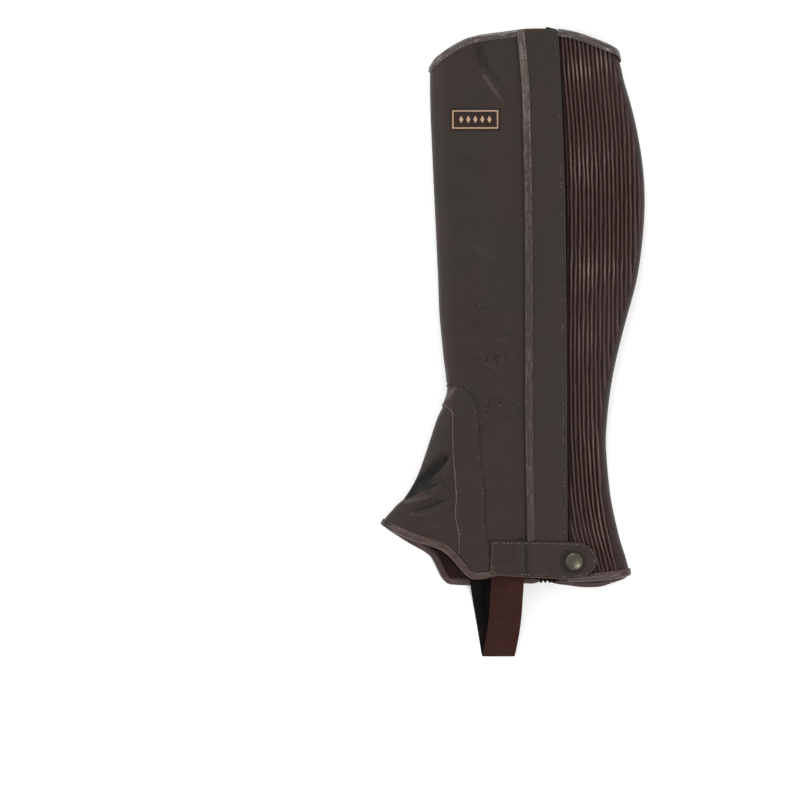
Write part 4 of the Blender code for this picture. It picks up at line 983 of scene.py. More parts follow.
# Painted shade and light: the valleys are painted near-black and the crests paler, and painted
# highlight bands, broken up by a noise, lie on the crests.
shaded_valley_brown, lit_crest_brown, crest_highlight_brown = ((0.0120, 0.0045, 0.0034), (0.050, 0.0240, 0.0195),
                                     (0.240, 0.178, 0.162))
tone = mix(tree, fit(tree, crest, 0.30, 1.0), shaded_valley_brown, lit_crest_brown)
uneven = fit(tree, noise(tree, where, 130, 3.0, 0.6), 0.30, 0.62, 0.35, 1.0)
crest_highlights = times(tree, fit(tree, crest, 0.72, 1.04), times(tree, mark(tree, "shine"), uneven))
tone = mix(tree, times(tree, crest_highlights, 0.72), tone, crest_highlight_brown)
back = mix(tree, noise(tree, where, 600, 3.0), (0.004, 0.004, 0.004), (0.010, 0.009, 0.009))
feed(tree, shader.inputs["Base Color"], mix(tree, mark(tree, "inside"), tone, back))
feed(tree, shader.inputs["Roughness"], fit(tree, crest, 0.2, 1.0, 0.7, 0.42))
gathers = calc(tree, "ADD", skin["Height"], times(tree, noise(tree, where, 420, 2.0), 0.8))
bump(tree, shader, gathers, 0.6, 0.22 * MM)


def thread(name, dull, pale, low=0.44, high=0.68, fade=None):
    """Sewing thread, rubbed paler in places. Where a fade is given, it is a pair of places
    up the chap: the thread stays dull below the first and grows paler up to the second, a
    painted highlight."""
    look, tree, shader = material(name, 0.62, Specular_IOR_Level=0.3)
    where = spot(tree)
    rub = fit(tree, noise(tree, where, 220, 1.0), low, high)
    if fade:
        rub = times(tree, rub, fit(tree, up_leg(tree, where), *fade))
    feed(tree, shader.inputs["Base Color"], mix(tree, rub, dull, pale))
    twist = calc(tree, "SINE", times(tree, noise(tree, where, 900, 1.0), 40.0))
    bump(tree, shader, twist, 0.4, 0.05 * MM)
    return look


thread_look = thread("sewing_thread", (0.044, 0.033, 0.028), (0.190, 0.162, 0.144))
dark_thread_look = thread("dark_thread", (0.020, 0.015, 0.013), (0.125, 0.102, 0.088), 0.48, 0.70)
# The flap's thread grows paler towards the rim: painted highlight.
flap_thread_look = thread("flap_thread", (0.040, 0.024, 0.020), (0.280, 0.245, 0.225),
                          0.38, 0.60, (0.02, 0.19))


def cloth(name, face, back, across, along, depth, rough):
    """Woven cloth with its own colour on each face and fine lint."""
    look, tree, shader = material(name, rough, Specular_IOR_Level=0.12)
    threads = use(tree, weave, Cut=flat_cut(tree), Across=across, Along=along)
    where = spot(tree)
    cloudy = noise(tree, where, 70, 3.0)
    tone = mix(tree, mark(tree, "inside"), face, back)
    # Painted shade between the threads: the cloth is painted darker where the weave is low.
    thread_gap_shade = mix(tree, mark(tree, "inside"), scaled(0.45, face), scaled(0.45, back))
    tone = mix(tree, fit(tree, threads["Height"], 0.1, 0.8), thread_gap_shade, tone)
    tone = mix(tree, times(tree, fit(tree, cloudy, 0.4, 0.8), 0.35), tone, scaled(1.5, face))
    feed(tree, shader.inputs["Base Color"], tone)
    feed(tree, shader.inputs["Roughness"], fit(tree, cloudy, 0.0, 1.0, rough - 0.05, rough + 0.05))
    bump(tree, shader, threads["Height"], 0.7, depth)
    return look


strap_look = cloth("strap_elastic", (0.041, 0.0145, 0.0112), (0.0030, 0.0030, 0.0031),
                   1150.0, 1900.0, 0.05 * MM, 0.85)
tape_look = cloth("tape_cloth", (0.0050, 0.0047, 0.0048), (0.012, 0.0115, 0.0118),
                  1300.0, 1100.0, 0.1 * MM, 0.88)


def metal(name, colour, tarnish, rough, patina):
    """Cast or turned metal: its colour, a darker tarnish in soft clouds, fine scratches."""
    look, tree, shader = material(name, rough, Metallic=1.0)
    where = spot(tree)
    clouds = fit(tree, noise(tree, where, 320, 4.0, 0.6), 0.35, 0.7)
    feed(tree, shader.inputs["Base Color"],
         mix(tree, times(tree, clouds, patina), colour, tarnish))
    feed(tree, shader.inputs["Roughness"], fit(tree, clouds, 0.0, 1.0, rough, rough + 0.2))
    bump(tree, shader, noise(tree, where, 3000, 2.0), 0.25, 0.04 * MM)
    return look


brass_look = metal("aged_brass", (0.106, 0.094, 0.073), (0.050, 0.045, 0.035), 0.33, 0.6)
silver_look = metal("silver_metal", (0.62, 0.61, 0.60), (0.35, 0.34, 0.33), 0.28, 0.5)
teeth_look, tree, shader = material("zip_teeth", 0.4)
where = spot(tree)
feed(tree, shader.inputs["Base Color"],
     mix(tree, noise(tree, where, 300, 2.0), (0.012, 0.011, 0.011), (0.024, 0.021, 0.020)))
bump(tree, shader, noise(tree, where, 1500, 2.0), 0.2, 0.05 * MM)
print("materials:", len(bpy.data.materials))

# %% [markdown]
# ## The leg panel and the gusset
#
# The main piece of leather goes from the zip round the shin to the seam at the inner back.
# Over the instep a gusset is set into an arched notch of it. Both are grids on the wall:
# lines across the chap give the columns, and the rows run from the hem to the ankle's seam
# and on to the rim. The notch is simply left out of the leg panel's grid.

# %% Leg panel
LEG_STOPS = (0, 4, 19, 27)
leg_lines = (plain_line(ZIP_EDGE_X), shifted(gusset_outer, GAP / 2),
             shifted(gusset_inner, -GAP / 2), shifted(leg_back, GAP / 2))
columns, rows = even_runs(LEG_STOPS, (45, 30, 56)), even_runs((0, 1, 2), (90, 240))
angle, height = long_grid(leg_lines, LEG_STOPS, columns, rows, hem, rim,
                          lambda angle, height: arch(angle, GAP / 2))
middle_column = (columns[1:] + columns[:-1]) / 2
middle_row = (rows[1:] + rows[:-1]) / 2
in_notch = (middle_column > LEG_STOPS[1]) & (middle_column < LEG_STOPS[2])
notch = in_notch[None, :] & (middle_row < 1)[:, None]
# The fold mark paints shade into the deep folds and a highlight onto the ridges.
leg_panel = shell("leg_panel_leather", place(angle, height, LEATHER / 2),
                  place(angle, height, -LEATHER / 2), leg_look, "leg_leather", ["leg_panel"],
                  keep=~notch, worn=crackle(angle, height), edge=0.0,
                  fold=fold_shade_mark(angle, height))

# %% Gusset over the instep
gusset_lines = (shifted(gusset_outer, -GAP / 2), shifted(gusset_inner, GAP / 2))
columns, rows = np.linspace(0, 1, 111), np.linspace(0, 1, 136)


def gusset_line(height):
    """Angle at each column between the gusset's two seams."""
    return between(gusset_lines, (0, 1), columns, height)


low = settle(gusset_line, hem, 0 * columns)
high = settle(gusset_line, lambda angle, height: arch(angle, -GAP / 2), 0 * columns + ANKLE)
height = low + (high - low) * rows[:, None]
angle = between(gusset_lines, (0, 1), columns[None, :], height)
# The fold mark paints shade into the deep folds and a highlight onto the ridges.
foot_flare = shell("foot_flare_leather", place(angle, height, LEATHER / 2),
                   place(angle, height, -LEATHER / 2), flare_look, "flare_leather",
                   ["foot_flare"], worn=crackle(angle, height), edge=0.0,
                   fold=fold_shade_mark(angle, height))

# %% [markdown]
# ## Pieces sewn on top
#
# The ankle band covers the gusset's seam, a reinforcing patch lies on the inner side, and a
# small plain label near the top. Each is cut from leather with its edge rounded. The band's and
# the patch's edges are rubbed paler, the band's inner edge also with a painted highlight, and a
# row of sewing pulls a furrow a little inside them. The grid's lines therefore lie close
# together near the edges.

# %% Ankle band
BAND_SEAM = 1.4 * MM
BAND_OFFSET = LEATHER / 2 + 0.25 * MM
BAND_END, BAND_CUT = 36, 2
band_rows = ANKLE_BAND["row"]
band_edges = []
for edge in ("outer", "inner"):
    heights = ANKLE_BAND[edge + "_height"]
    angles = np.where(ANKLE_BAND["side"] == 0, 0.0,
                      angle_at(ANKLE_BAND[edge + "_x"], heights, ANKLE_BAND["side"]))
    band_edges.append((angles, heights))


def band_at(share, row):
    """Angle and height on the band: share 0 is its outer edge and 1 its inner edge. Its two
    ends are cut along the hem's binding, whatever the slope of the hem there."""
    (outer_angle, outer_height), (inner_angle, inner_height) = band_edges
    angle = ((1 - share) * smooth(row, band_rows, outer_angle)
             + share * smooth(row, band_rows, inner_angle))
    whole = np.clip(row, BAND_CUT, BAND_END - BAND_CUT)
    wanted = ((1 - share) * smooth(whole, band_rows, outer_height)
              + share * smooth(whole, band_rows, inner_height))
    up = np.minimum(row, BAND_END - row).clip(0, BAND_CUT) / BAND_CUT
    height = wanted
    for _ in range(ROUNDS):
        low = above_hem_binding(angle, height)
        height = low + (wanted - low) * up
    return angle, height


band_steps = np.linspace(0, BAND_END, 331)
share, row = np.meshgrid(stations(22 * MM, 1.4 * MM), band_steps)
angle, height = band_at(share, row)
flat = place(angle, height, BAND_OFFSET + OVERLAY)
distance = from_edge(flat, "lr")
outer = place(angle, height, BAND_OFFSET + OVERLAY - rounded(distance, 0.5 * MM)
              - furrow(distance, BAND_SEAM) + 0.12 * MM * ramp(distance, 0, 0.8 * MM)
              * (1 - ramp(distance, 1.0 * MM, 2.0 * MM)))
# The fold mark paints shade into the deep folds. The edge mark is higher on the inner edge, which
# is painted paler: rubbed wear with a painted highlight along it.
ankle_band = shell("ankle_band_leather", outer, place(angle, height, BAND_OFFSET), band_look,
                   "band_leather", ["ankle_band"], worn=0.5 * crackle(angle, height),
                   edge=np.where(share < 0.5, 0.4, 1.5) * rubbing(distance, 1.0 * MM),
                   fold=fold_shade_mark(angle, height))
band_width = travelled(flat, 1)[:, -1]
steps = np.linspace(0.6, 35.4, 600)
inset = BAND_SEAM / np.interp(steps, band_steps, band_width)
band_paths = [path_on(*band_at(inset, steps), BAND_OFFSET + OVERLAY - 0.2 * MM),
              path_on(*band_at(1 - inset, steps), BAND_OFFSET + OVERLAY - 0.2 * MM)]
sew("ankle_band_stitches", band_paths, dark_thread_look, "band_leather")

# %% Patch on the inner side
PATCH_SEAM = 2.6 * MM
PATCH_WIDTH, PATCH_LENGTH = 100 * MM, 385 * MM
PATCH_STRAIGHT = 0.7
PATCH_OFFSET = LEATHER / 2 + 0.1 * MM


def patch_at(column, row):
    """Angle and height on the patch: column from 0 to 1 across it, row from 0 at its foot
    to PATCH_STRAIGHT where its arch begins and 1 at the top of the arch."""
    across = 2 * column - 1
    up = np.clip((row - PATCH_STRAIGHT) / (1 - PATCH_STRAIGHT), 0, 1)
    height = 0 * column
    for _ in range(ROUNDS):
        front, back = follow(PATCH_FRONT, height), follow(PATCH_BACK, height)
        x = (front + back) / 2 + (back - front) / 2 * across * np.sqrt(1 - up * up / 2)
        low = above_hem_binding(angle_at(x, height, -1), height)
        straight = low + (PATCH_ARCH_HEIGHT - low) * np.clip(row / PATCH_STRAIGHT, 0, 1)
        height = np.minimum(straight, PATCH_ARCH_HEIGHT)
    total = height + PATCH_ARCH_RISE * up * np.sqrt(1 - across * across / 2)
    return angle_at(x, total, -1), total


column, row = np.meshgrid(stations(PATCH_WIDTH, 1.9 * MM), stations(PATCH_LENGTH, 2.4 * MM))
angle, height = patch_at(column, row)
flat = place(angle, height, PATCH_OFFSET + PATCH)
distance = from_edge(flat)
thickness = LEATHER / 2 + GAP + PATCH - PATCH_OFFSET
outer = place(angle, height, PATCH_OFFSET + thickness - rounded(distance, 0.6 * MM)
              - furrow(distance, PATCH_SEAM))
inner_patch = shell("inner_patch_leather", outer, place(angle, height, PATCH_OFFSET),
                    patch_look, "patch_leather", ["inner_patch"],
                    worn=crackle(angle, height), edge=rubbing(distance, 1.1 * MM))
u, v = PATCH_SEAM / PATCH_WIDTH, PATCH_SEAM / PATCH_LENGTH
side_steps, top_steps = np.linspace(v, 1 - v, 400), np.linspace(u, 1 - u, 200)
column = np.concatenate([0 * side_steps + u, top_steps[1:-1], 0 * side_steps + 1 - u])
row = np.concatenate([side_steps, 0 * top_steps[1:-1] + 1 - v, side_steps[::-1]])
sew("inner_patch_stitches",
    [path_on(*patch_at(column, row), PATCH_OFFSET + thickness - 0.3 * MM)],
    thread_look, "patch_leather")

# %% Small plain label
label_lines = (plain_line(LABEL_FRONT), plain_line(LABEL_BACK))
LABEL_OFFSET = LEATHER / 2 + 0.1 * MM
LABEL_WIDTH, LABEL_RISE = 39 * MM, 17 * MM
column, row = np.meshgrid(stations(LABEL_WIDTH, 0.35 * MM), stations(LABEL_RISE, 0.35 * MM))
height = LABEL_BOTTOM + (LABEL_TOP - LABEL_BOTTOM) * row
angle = between(label_lines, (0, 1), column, height)
distance = from_edge(place(angle, height, LABEL_OFFSET + LABEL))
frame_line = ramp(distance, 1.2 * MM, 1.5 * MM) * (1 - ramp(distance, 2.1 * MM, 2.4 * MM))
DIAMOND_PITCH, DIAMOND_WIDTH, DIAMOND_HEIGHT = 5.6 * MM, 1.9 * MM, 3.4 * MM
label_x = width_at(angle, height) - (LABEL_FRONT + LABEL_BACK) / 2
label_y = (row - 0.5) * (LABEL_TOP - LABEL_BOTTOM)
nearest = np.clip(np.rint(label_x / DIAMOND_PITCH), -2, 2) * DIAMOND_PITCH
diamond = np.abs(label_x - nearest) / DIAMOND_WIDTH + np.abs(label_y) / DIAMOND_HEIGHT
pattern = np.maximum(frame_line, 1 - ramp(diamond, 0.75, 1.0))
outer = place(angle, height, LABEL_OFFSET + LABEL - rounded(distance, 0.3 * MM)
              + 0.2 * MM * pattern)
label_look = leather("label_leather", (0.0200, 0.0085, 0.0060), (0.0170, 0.0085, 0.0062),
                     (0.420, 0.280, 0.190), roughness=0.45, rub=0.92)
side_label = shell("side_label_leather", outer, place(angle, height, LABEL_OFFSET), label_look,
                   "label_leather", ["side_label"], worn=0.0, edge=1.4 * pattern)

# %% [markdown]
# ## Back strip and ribbed elastic
#
# At the calf the chap stretches: leather is sewn in narrow upright ribs over elastic. The
# ribs stay upright while the back seam curves, so the seam cuts them off one by one. They
# could be a bump in the material, but in a low view and in the mesh they must stand up. So
# the panel's outer face is a wave across it: a rounded crest and a narrow valley at every
# pitch, pressed flat near the seams. Each rib swings a little from side to side and is a
# little higher or lower than its neighbour.

# %% Back strip
STRIP_SEAM = 1.6 * MM
strip_lines = (shifted(strip_seam_outer, GAP / 2), shifted(strip_seam_inner, -GAP / 2))
long_rows = even_runs((0, 1, 2), (60, 160))
angle, height = long_grid(strip_lines, (0, 1), stations(28 * MM, 1.6 * MM), long_rows, hem, rim)
flat = place(angle, height, LEATHER / 2)
distance = from_edge(flat, "lr")
outer = place(angle, height, LEATHER / 2 - rounded(distance, 0.5 * MM)
              - furrow(distance, STRIP_SEAM, depth=0.15 * MM))
back_strip = shell("back_strip_leather", outer, place(angle, height, -LEATHER / 2), strip_look,
                   "strip_leather", ["back_strip"], worn=crackle(angle, height),
                   edge=0.5 * rubbing(distance))

# %% Ribbed panel
RIB_VALLEY = -0.05 * MM
RIB_PRESSED = 0.75 * MM
panel_lines = (panel_front, shifted(strip_seam_outer, -GAP / 2))
angle, height = long_grid(panel_lines, (0, 1), np.linspace(0, 1, 225), long_rows[::2], hem, rim)
x = width_at(angle, height)
phase = (x - RIB_ORIGIN - follow(RIB_LEAN, height)) / RIB_PITCH
number = np.floor(phase)
inside_rib = phase - number
swing = (0.10 * np.sin(height / (9 * MM) + 2.1 * number)
         + 0.07 * np.sin(height / (4.3 * MM) + 1.7 * number))
bent_share = np.clip(inside_rib + swing * np.sin(HALF_TURN * inside_rib) ** 2, 0, 1)
crest = np.sin(HALF_TURN * bent_share) ** 1.05
crest *= 1 + 0.07 * np.sin(height / (13 * MM) + 3.3 * number) + 0.05 * np.sin(5.1 * number)
run = travelled(place(angle, height, RIB_PRESSED), 1)
pressed = 1 - ramp(run[:, -1:] - run, 0.6 * MM, 3.4 * MM)
under_flap = 1 - ramp(run, PANEL_UNDER_FLAP - 0.5 * MM, PANEL_UNDER_FLAP + 2.4 * MM)
flap_shadow = 1 - ramp(run, PANEL_UNDER_FLAP + 1.2 * MM, PANEL_UNDER_FLAP + 3.4 * MM)
ribs = RIB_VALLEY + (RIB_CREST - RIB_VALLEY) * crest * (1 - 0.75 * under_flap)
outer = place(angle, height, ribs + (RIB_PRESSED - ribs) * pressed)
# The crest mark paints the valleys darker and the crests paler, as painted shade and light; beside
# the flap's edge it drops to nothing, a painted shadow. The other mark places painted highlight
# bands on the crests.
stretch_panel = shell("stretch_panel_ribs", outer, place(angle, height, RIB_INSIDE), rib_look,
                      "rib_leather", ["stretch_panel"], sharp=80,
                      crest=(crest * (1 - pressed) + 0.62 * pressed) * (1 - flap_shadow),
                      shine=patches(PAINTED_SHINE, angle, height) + 0.12)

# %% [markdown]
# ## Zip
#
# The zip is behind the flap: two woven tapes, a coil of small teeth that hook into each
# other, a slider and its pull. Most of it is hidden, but its ends show at the rim and at the
# hem, and the tapes show inside the chap. Each tooth is a short flat bar, and all of them
# are one mesh, made like the stitches.

# %% Tapes
under_binding = BINDING_LEG + 2 * GAP
front_lines = (plain_line(ZIP_X - TAPE_WIDTH), plain_line(ZIP_X - GAP))
back_lines = (plain_line(ZIP_X + GAP), plain_line(ZIP_X + BACK_TAPE_WIDTH))
tape_columns = stations(TAPE_WIDTH, 0.7 * MM, (0, 0.15, 0.5, 1.2, 2.2))


def zip_tape(name, node, lines, bottom, top):
    """Tape with a rounded edge and shallow ridges along it."""
    angle, height = long_grid(lines, (0, 1), tape_columns, long_rows, bottom, top)
    flat = place(angle, height, TAPE_OFFSET + TAPE / 2)
    distance = from_edge(flat, "lr")
    ridges = 0.08 * MM * np.cos(distance / (1.1 * MM) * 2 * HALF_TURN)
    top_face = place(angle, height, TAPE_OFFSET + TAPE / 2 + ridges
                     - rounded(distance, 0.35 * MM))
    return shell(name, top_face, place(angle, height, TAPE_OFFSET - TAPE / 2), tape_look,
                 "tape_cloth", [node])


def frayed_end(angle, height):
    """Lower end of the back tape: hidden near the teeth, in loose tufts beyond them."""
    x = width_at(angle, height)
    tufts = 1.0 * MM * np.sin((x - 21.0 * MM) / (3.5 * MM) * 2 * HALF_TURN)
    return BACK_TAPE_ENDS[0] + 1.3 * MM - tufts + 2.0 * MM * (1 - ramp(x, 19.5 * MM, 21 * MM))


def corner_end(angle, height):
    """Upper end of the back tape: a corner stands up past the flap and slopes away."""
    x = width_at(angle, height)
    return (BACK_TAPE_ENDS[1] - 0.4 * MM - 0.25 * np.clip(x - 26.2 * MM, 0, 1)
            - 2.6 * MM * (1 - ramp(x, 25.0 * MM, 26.2 * MM)))


tape_front = zip_tape("zip_tape_front_cloth", "zip_tape_front", front_lines,
                      lambda angle, height: hem(angle, height) + under_binding,
                      lambda angle, height: rim(angle, height) - under_binding)
tape_back = zip_tape("zip_tape_back_cloth", "zip_tape_back", back_lines,
                     frayed_end, corner_end)

# %% Teeth
TOOTH_PITCH = 1.5 * MM
tooth_heights = np.arange(CHAIN_START, SLIDER_HEIGHT - GAP, TOOTH_PITCH)
TOOTH_ACROSS = np.array([-3.3, -3.1, -1.6, 0.5, 0.9]) * MM
TOOTH_HALF = np.array([0.25, 0.42, 0.42, 0.5, 0.3]) * MM
TOOTH_TOP = np.array([-0.6, 0.2, 0.75, 0.95, 0.6]) * MM
TOOTH_FOOT = -0.95 * MM


def teeth(side, shift):
    """Bars of one side: across the chain lie five stations, each with its half length
    along the zip and its top; every bar has four points at each station."""
    at = tooth_heights[:, None, None] + shift
    corner_along = np.array([-1, 1, 1, -1])
    height = at + TOOTH_HALF[:, None] * corner_along
    x = ZIP_X + side * TOOTH_ACROSS[:, None] + 0 * height
    offset = np.where(np.array([1, 1, 0, 0]) > 0, TOOTH_TOP[:, None], TOOTH_FOOT) + 0 * height
    return place(angle_at(x, height, 1), height, offset).reshape(len(at), 20, 3)


def bar_faces(stops):
    """Faces of a bar with four points at each stop, closed at both ends."""
    faces = [[4 * k + i, 4 * k + (i + 1) % 4, 4 * k + 4 + (i + 1) % 4, 4 * k + 4 + i]
             for k in range(stops - 1) for i in range(4)]
    return faces + [[3, 2, 1, 0], [4 * stops - 4 + i for i in range(4)]]


back_row, front_row = teeth(1, 0.0), teeth(-1, TOOTH_PITCH / 2)
bars = np.concatenate([back_row, front_row]).reshape(-1, 3)
faces = (repeated(back_row, bar_faces(5))
         + repeated(front_row, bar_faces(5), len(bars) // 2))
mesh_piece("zip_chain_teeth", bars, faces, teeth_look, ["zip_chain"], sharp=40)
print("teeth:", len(back_row) + len(front_row))

# %% [markdown]
# ## Flap and bindings
#
# The zip's flap is a long strip of leather whose front edge is bound with a narrower strip,
# sewn with two rows. The hem and the rim are bound too. A binding is one strip folded over
# the edge: a leg outside, half a turn round the edge, and a leg inside. It is a profile of
# two numbers, the distance past the edge and the offset from the wall, carried along the
# edge. The leather's hand shows in it: it is a little domed, a little wavy, and pulled in by
# its row of sewing.

# %% Flap
flap_lines = (line_at(FLAP_FRONT, 1), line_at(FLAP_BACK, 1))
FLAP_SEAM, FLAP_WIDTH = 3.0 * MM, 31 * MM


def flap_bottom(angle, height):
    """Lower end of the flap, level."""
    return FLAP_BOTTOM + 0 * height


def flap_top(angle, height):
    """Upper end of the flap, just under the rim's line, with its free corner cut off."""
    cut_off = 0.10 * np.clip(width_at(angle, height) - 25.5 * MM, 0, 12 * MM)
    return rim(angle, height) + BINDING_REACH - FLAP_UNDER_RIM - cut_off


def flap_offset(share):
    """Middle of the flap over the wall: it sinks from its bound edge to its free edge."""
    return FLAP_FRONT_OFFSET - (FLAP_FRONT_OFFSET - FLAP_BACK_OFFSET) * share


columns = stations(FLAP_WIDTH, 1.5 * MM)
angle, height = long_grid(flap_lines, (0, 1), columns, long_rows, flap_bottom, flap_top)
flat = place(angle, height, flap_offset(columns) + FLAP / 2)
distance = from_edge(flat, "rbt")
waves = 0.10 * MM * np.sin(height / (21 * MM) + 0.7) * columns
outer = place(angle, height, flap_offset(columns) + FLAP / 2 + waves - rounded(distance, 0.5 * MM)
              - furrow(distance, FLAP_SEAM, depth=0.16 * MM))
zip_flap = shell("zip_flap_leather", outer,
                 place(angle, height, flap_offset(columns) - FLAP / 2 + waves), flap_look,
                 "flap_leather", ["zip_flap"], worn=crackle(angle, height),
                 edge=rubbing(distance))
steps = np.linspace(0.02, 1.98, 700)
seam_share = 1 - FLAP_SEAM / FLAP_WIDTH
seam_angle, seam_height = long_grid(flap_lines, (0, 1), np.array([seam_share]), steps,
                                    flap_bottom, flap_top)
flap_paths = [path_on(seam_angle[:, 0], seam_height[:, 0],
                      flap_offset(seam_share) + FLAP / 2 - 0.18 * MM)]
sew("zip_flap_stitches", flap_paths, dark_thread_look, "flap_leather")


# %% A strip folded over an edge
def dot(one, two):
    """Scalar product of each pair of vectors."""
    return np.sum(one * two, axis=-1)


def edge_frame(angle, height):
    """For each point of an edge: how the angle and the height change for a step straight
    past the edge. The edge runs with its panel on the left, seen from outside."""
    by_angle, by_height = slopes_of(angle, height)
    run = by_angle * np.gradient(angle)[:, None] + by_height * np.gradient(height)[:, None]
    past = unit(np.cross(run, normal(angle, height)))
    aa, ah, hh = dot(by_angle, by_angle), dot(by_angle, by_height), dot(by_height, by_height)
    pa, ph = dot(past, by_angle), dot(past, by_height)
    area = aa * hh - ah * ah
    return (pa * hh - ph * ah) / area, (ph * aa - pa * ah) / area


ARC = np.radians(np.linspace(90, -90, 13))
LEG_SHARES = np.array([0, 0.03, 0.08, 0.16, 0.26, 0.38, 0.5, 0.64, 0.8])


def folded_strip(name, node, look, slot, angle, height, outer_gap, inner_gap, leg, base=0.0,
                 seams=(0.9 * MM,), rub=0.0):
    """Closed shell of a strip folded over an edge. Across it go the outer leg, half a turn and
    the inner leg. Its leg ends lie close to the leather, and each seam is a distance from the
    outer leg's end at which a furrow runs. The rub adds to the edge mark at each point along the
    edge and paints the strip paler there. At the front corner of the hem the fold mark paints
    shade."""
    turn, climb = edge_frame(angle, height)
    outer_gap = outer_gap + 0 * angle
    centre, radius = (outer_gap - inner_gap) / 2, (outer_gap + inner_gap) / 2
    legs = np.concatenate([-leg * (1 - LEG_SHARES), 0 * ARC, -leg * (1 - LEG_SHARES[::-1])])
    arc = np.concatenate([0 * LEG_SHARES + ARC[0], ARC, 0 * LEG_SHARES + ARC[-1]])
    from_end = np.where(np.arange(len(legs)) < len(legs) / 2, 1, -1)
    depth_in = leg + legs
    run = travelled(place(angle, height, base)[:, None], 0)
    wobble = (0.10 * MM * np.sin(run / (3.7 * MM) + 1.0) * np.sin(run / (11 * MM))
              + 0.07 * MM * np.sin(run / (6.1 * MM) + 2.0))
    dome = 0.18 * MM * np.sin(np.clip(depth_in / leg, 0, 1) * HALF_TURN * 0.9)
    dips = sum(furrow(depth_in, seam, 0.8 * MM, 0.26 * MM) for seam in seams) * (from_end > 0)
    end_drop = rounded(depth_in, 0.45 * MM) + 0.25 * MM * (1 - ramp(depth_in, 0, 1.5 * MM))

    def face(half, relief_share, drop_share):
        """One face of the strip, half its thickness in or out from its middle."""
        reach = (radius[:, None] + half + relief_share * (dome - dips + wobble)
                 - drop_share * end_drop)
        past = legs + (radius[:, None] + half) * np.cos(arc) + 0 * reach
        offset = base + centre[:, None] + reach * np.sin(arc)
        return place(angle[:, None] + turn[:, None] * past,
                     height[:, None] + climb[:, None] * past, offset)
    outer, inner = face(BINDING / 2, 1.0, 1.0), face(-BINDING / 2, 0.0, 0.0)
    edge = (np.where(depth_in < 0.6 * MM, 0.7, 0.0) + 0.4 * np.cos(arc) ** 4
            + np.asarray(rub)[..., None])
    # Painted shade at the front corner of the hem, where the binding turns round the fold.
    toe_shade = 2.0 * np.exp(-(((outer[..., 0] - HEM_X + 103.5 * MM) / (5 * MM)) ** 2))
    piece = shell(name, outer, inner, look, slot, [node], worn=0.15,
                  edge=edge + 0 * outer[..., 0], fold=toe_shade)
    paths = []
    for seam in seams:
        past = seam - leg
        top = base + centre + radius + BINDING / 2 - 0.12 * MM
        paths.append(path_on(angle + turn * past, height + climb * past, top))
    return piece, paths


fine_rows = np.linspace(2, 0, 301)
edge_angle, edge_height = (values[:, 0] for values in long_grid(
    flap_lines, (0, 1), np.array([0.0]), fine_rows, flap_bottom, flap_top))
gap = FLAP / 2 + GAP + BINDING / 2
# Its rub rises towards the rim and paints a sheen on the binding's upper part: painted highlight.
flap_binding, paths = folded_strip("flap_binding_strip", "flap_binding", flap_binding_look,
                                   "flap_binding_leather", edge_angle, edge_height, gap, gap,
                                   FLAP_BINDING_LEG, FLAP_FRONT_OFFSET,
                                   seams=(0.9 * MM, 3.9 * MM),
                                   rub=0.65 * ramp(edge_height, 300 * MM, 390 * MM))
sew("flap_binding_stitches", paths, flap_thread_look, "flap_binding_leather",
    pitch=2.0 * MM, length=1.5 * MM)


# %% Bindings of the rim and the hem
def edge_points(lines, stops, edge, start, count):
    """Angles and heights along a panel's edge."""
    column = np.linspace(0, stops[-1], count)

    def line(height):
        """Angle at every column."""
        return between(lines, stops, column, height)
    height = settle(line, edge, start + 0 * column)
    return column, line(height), height


plain = LEATHER / 2 + GAP + BINDING / 2
over_ribs = RIB_CREST + 2 * GAP + BINDING / 2
front_edge = ((plain_line(ZIP_EDGE_X), gusset_outer, gusset_inner, shifted(leg_back, GAP / 2)),
              LEG_STOPS)
back_edge = ((shifted(line_at(FLAP_BACK, 1), 0.15 * MM), shifted(strip_seam_outer, GAP / 2),
              shifted(strip_seam_inner, -GAP / 2)), (0, 10, 18))
binding_paths = []
bindings = {}
for name, edge_of, cut, start, backwards in (
        ("top_binding_front", front_edge, rim, NEAR_RIM, False),
        ("hem_binding_front", front_edge, hem, 0.0, True),
        ("top_binding_back", back_edge, rim, NEAR_RIM, True),
        ("hem_binding_back", back_edge, hem, 0.0, False)):
    column, angle, height = edge_points(*edge_of, cut, start, 241 if "front" in name else 121)
    gaps = plain + 0 * column
    if "back" in name:
        gaps = over_ribs + (plain - over_ribs) * ramp(column, 11, 14)
    turn = slice(None, None, -1) if backwards else slice(None)
    strip_finish = hem_binding_look if "hem" in name else binding_look
    bindings[name], paths = folded_strip(name + "_strip", name, strip_finish,
                                         "edge_binding_leather", angle[turn], height[turn],
                                         gaps[turn], plain, BINDING_LEG)
    binding_paths += paths
sew("edge_binding_stitches", binding_paths, dark_thread_look, "edge_binding_leather")

# %% [markdown]
# ## Tab and snap
#
# A tab crosses the foot of the zip and closes with a snap. It is sewn down at the front,
# climbs over the bound edge of the flap and lies on it, and its end is round. Its lift over
# the leather is a curve along its length. The snap's cap and stud are turned metal, so each
# is a profile of radius and height, carried round the wall's normal.


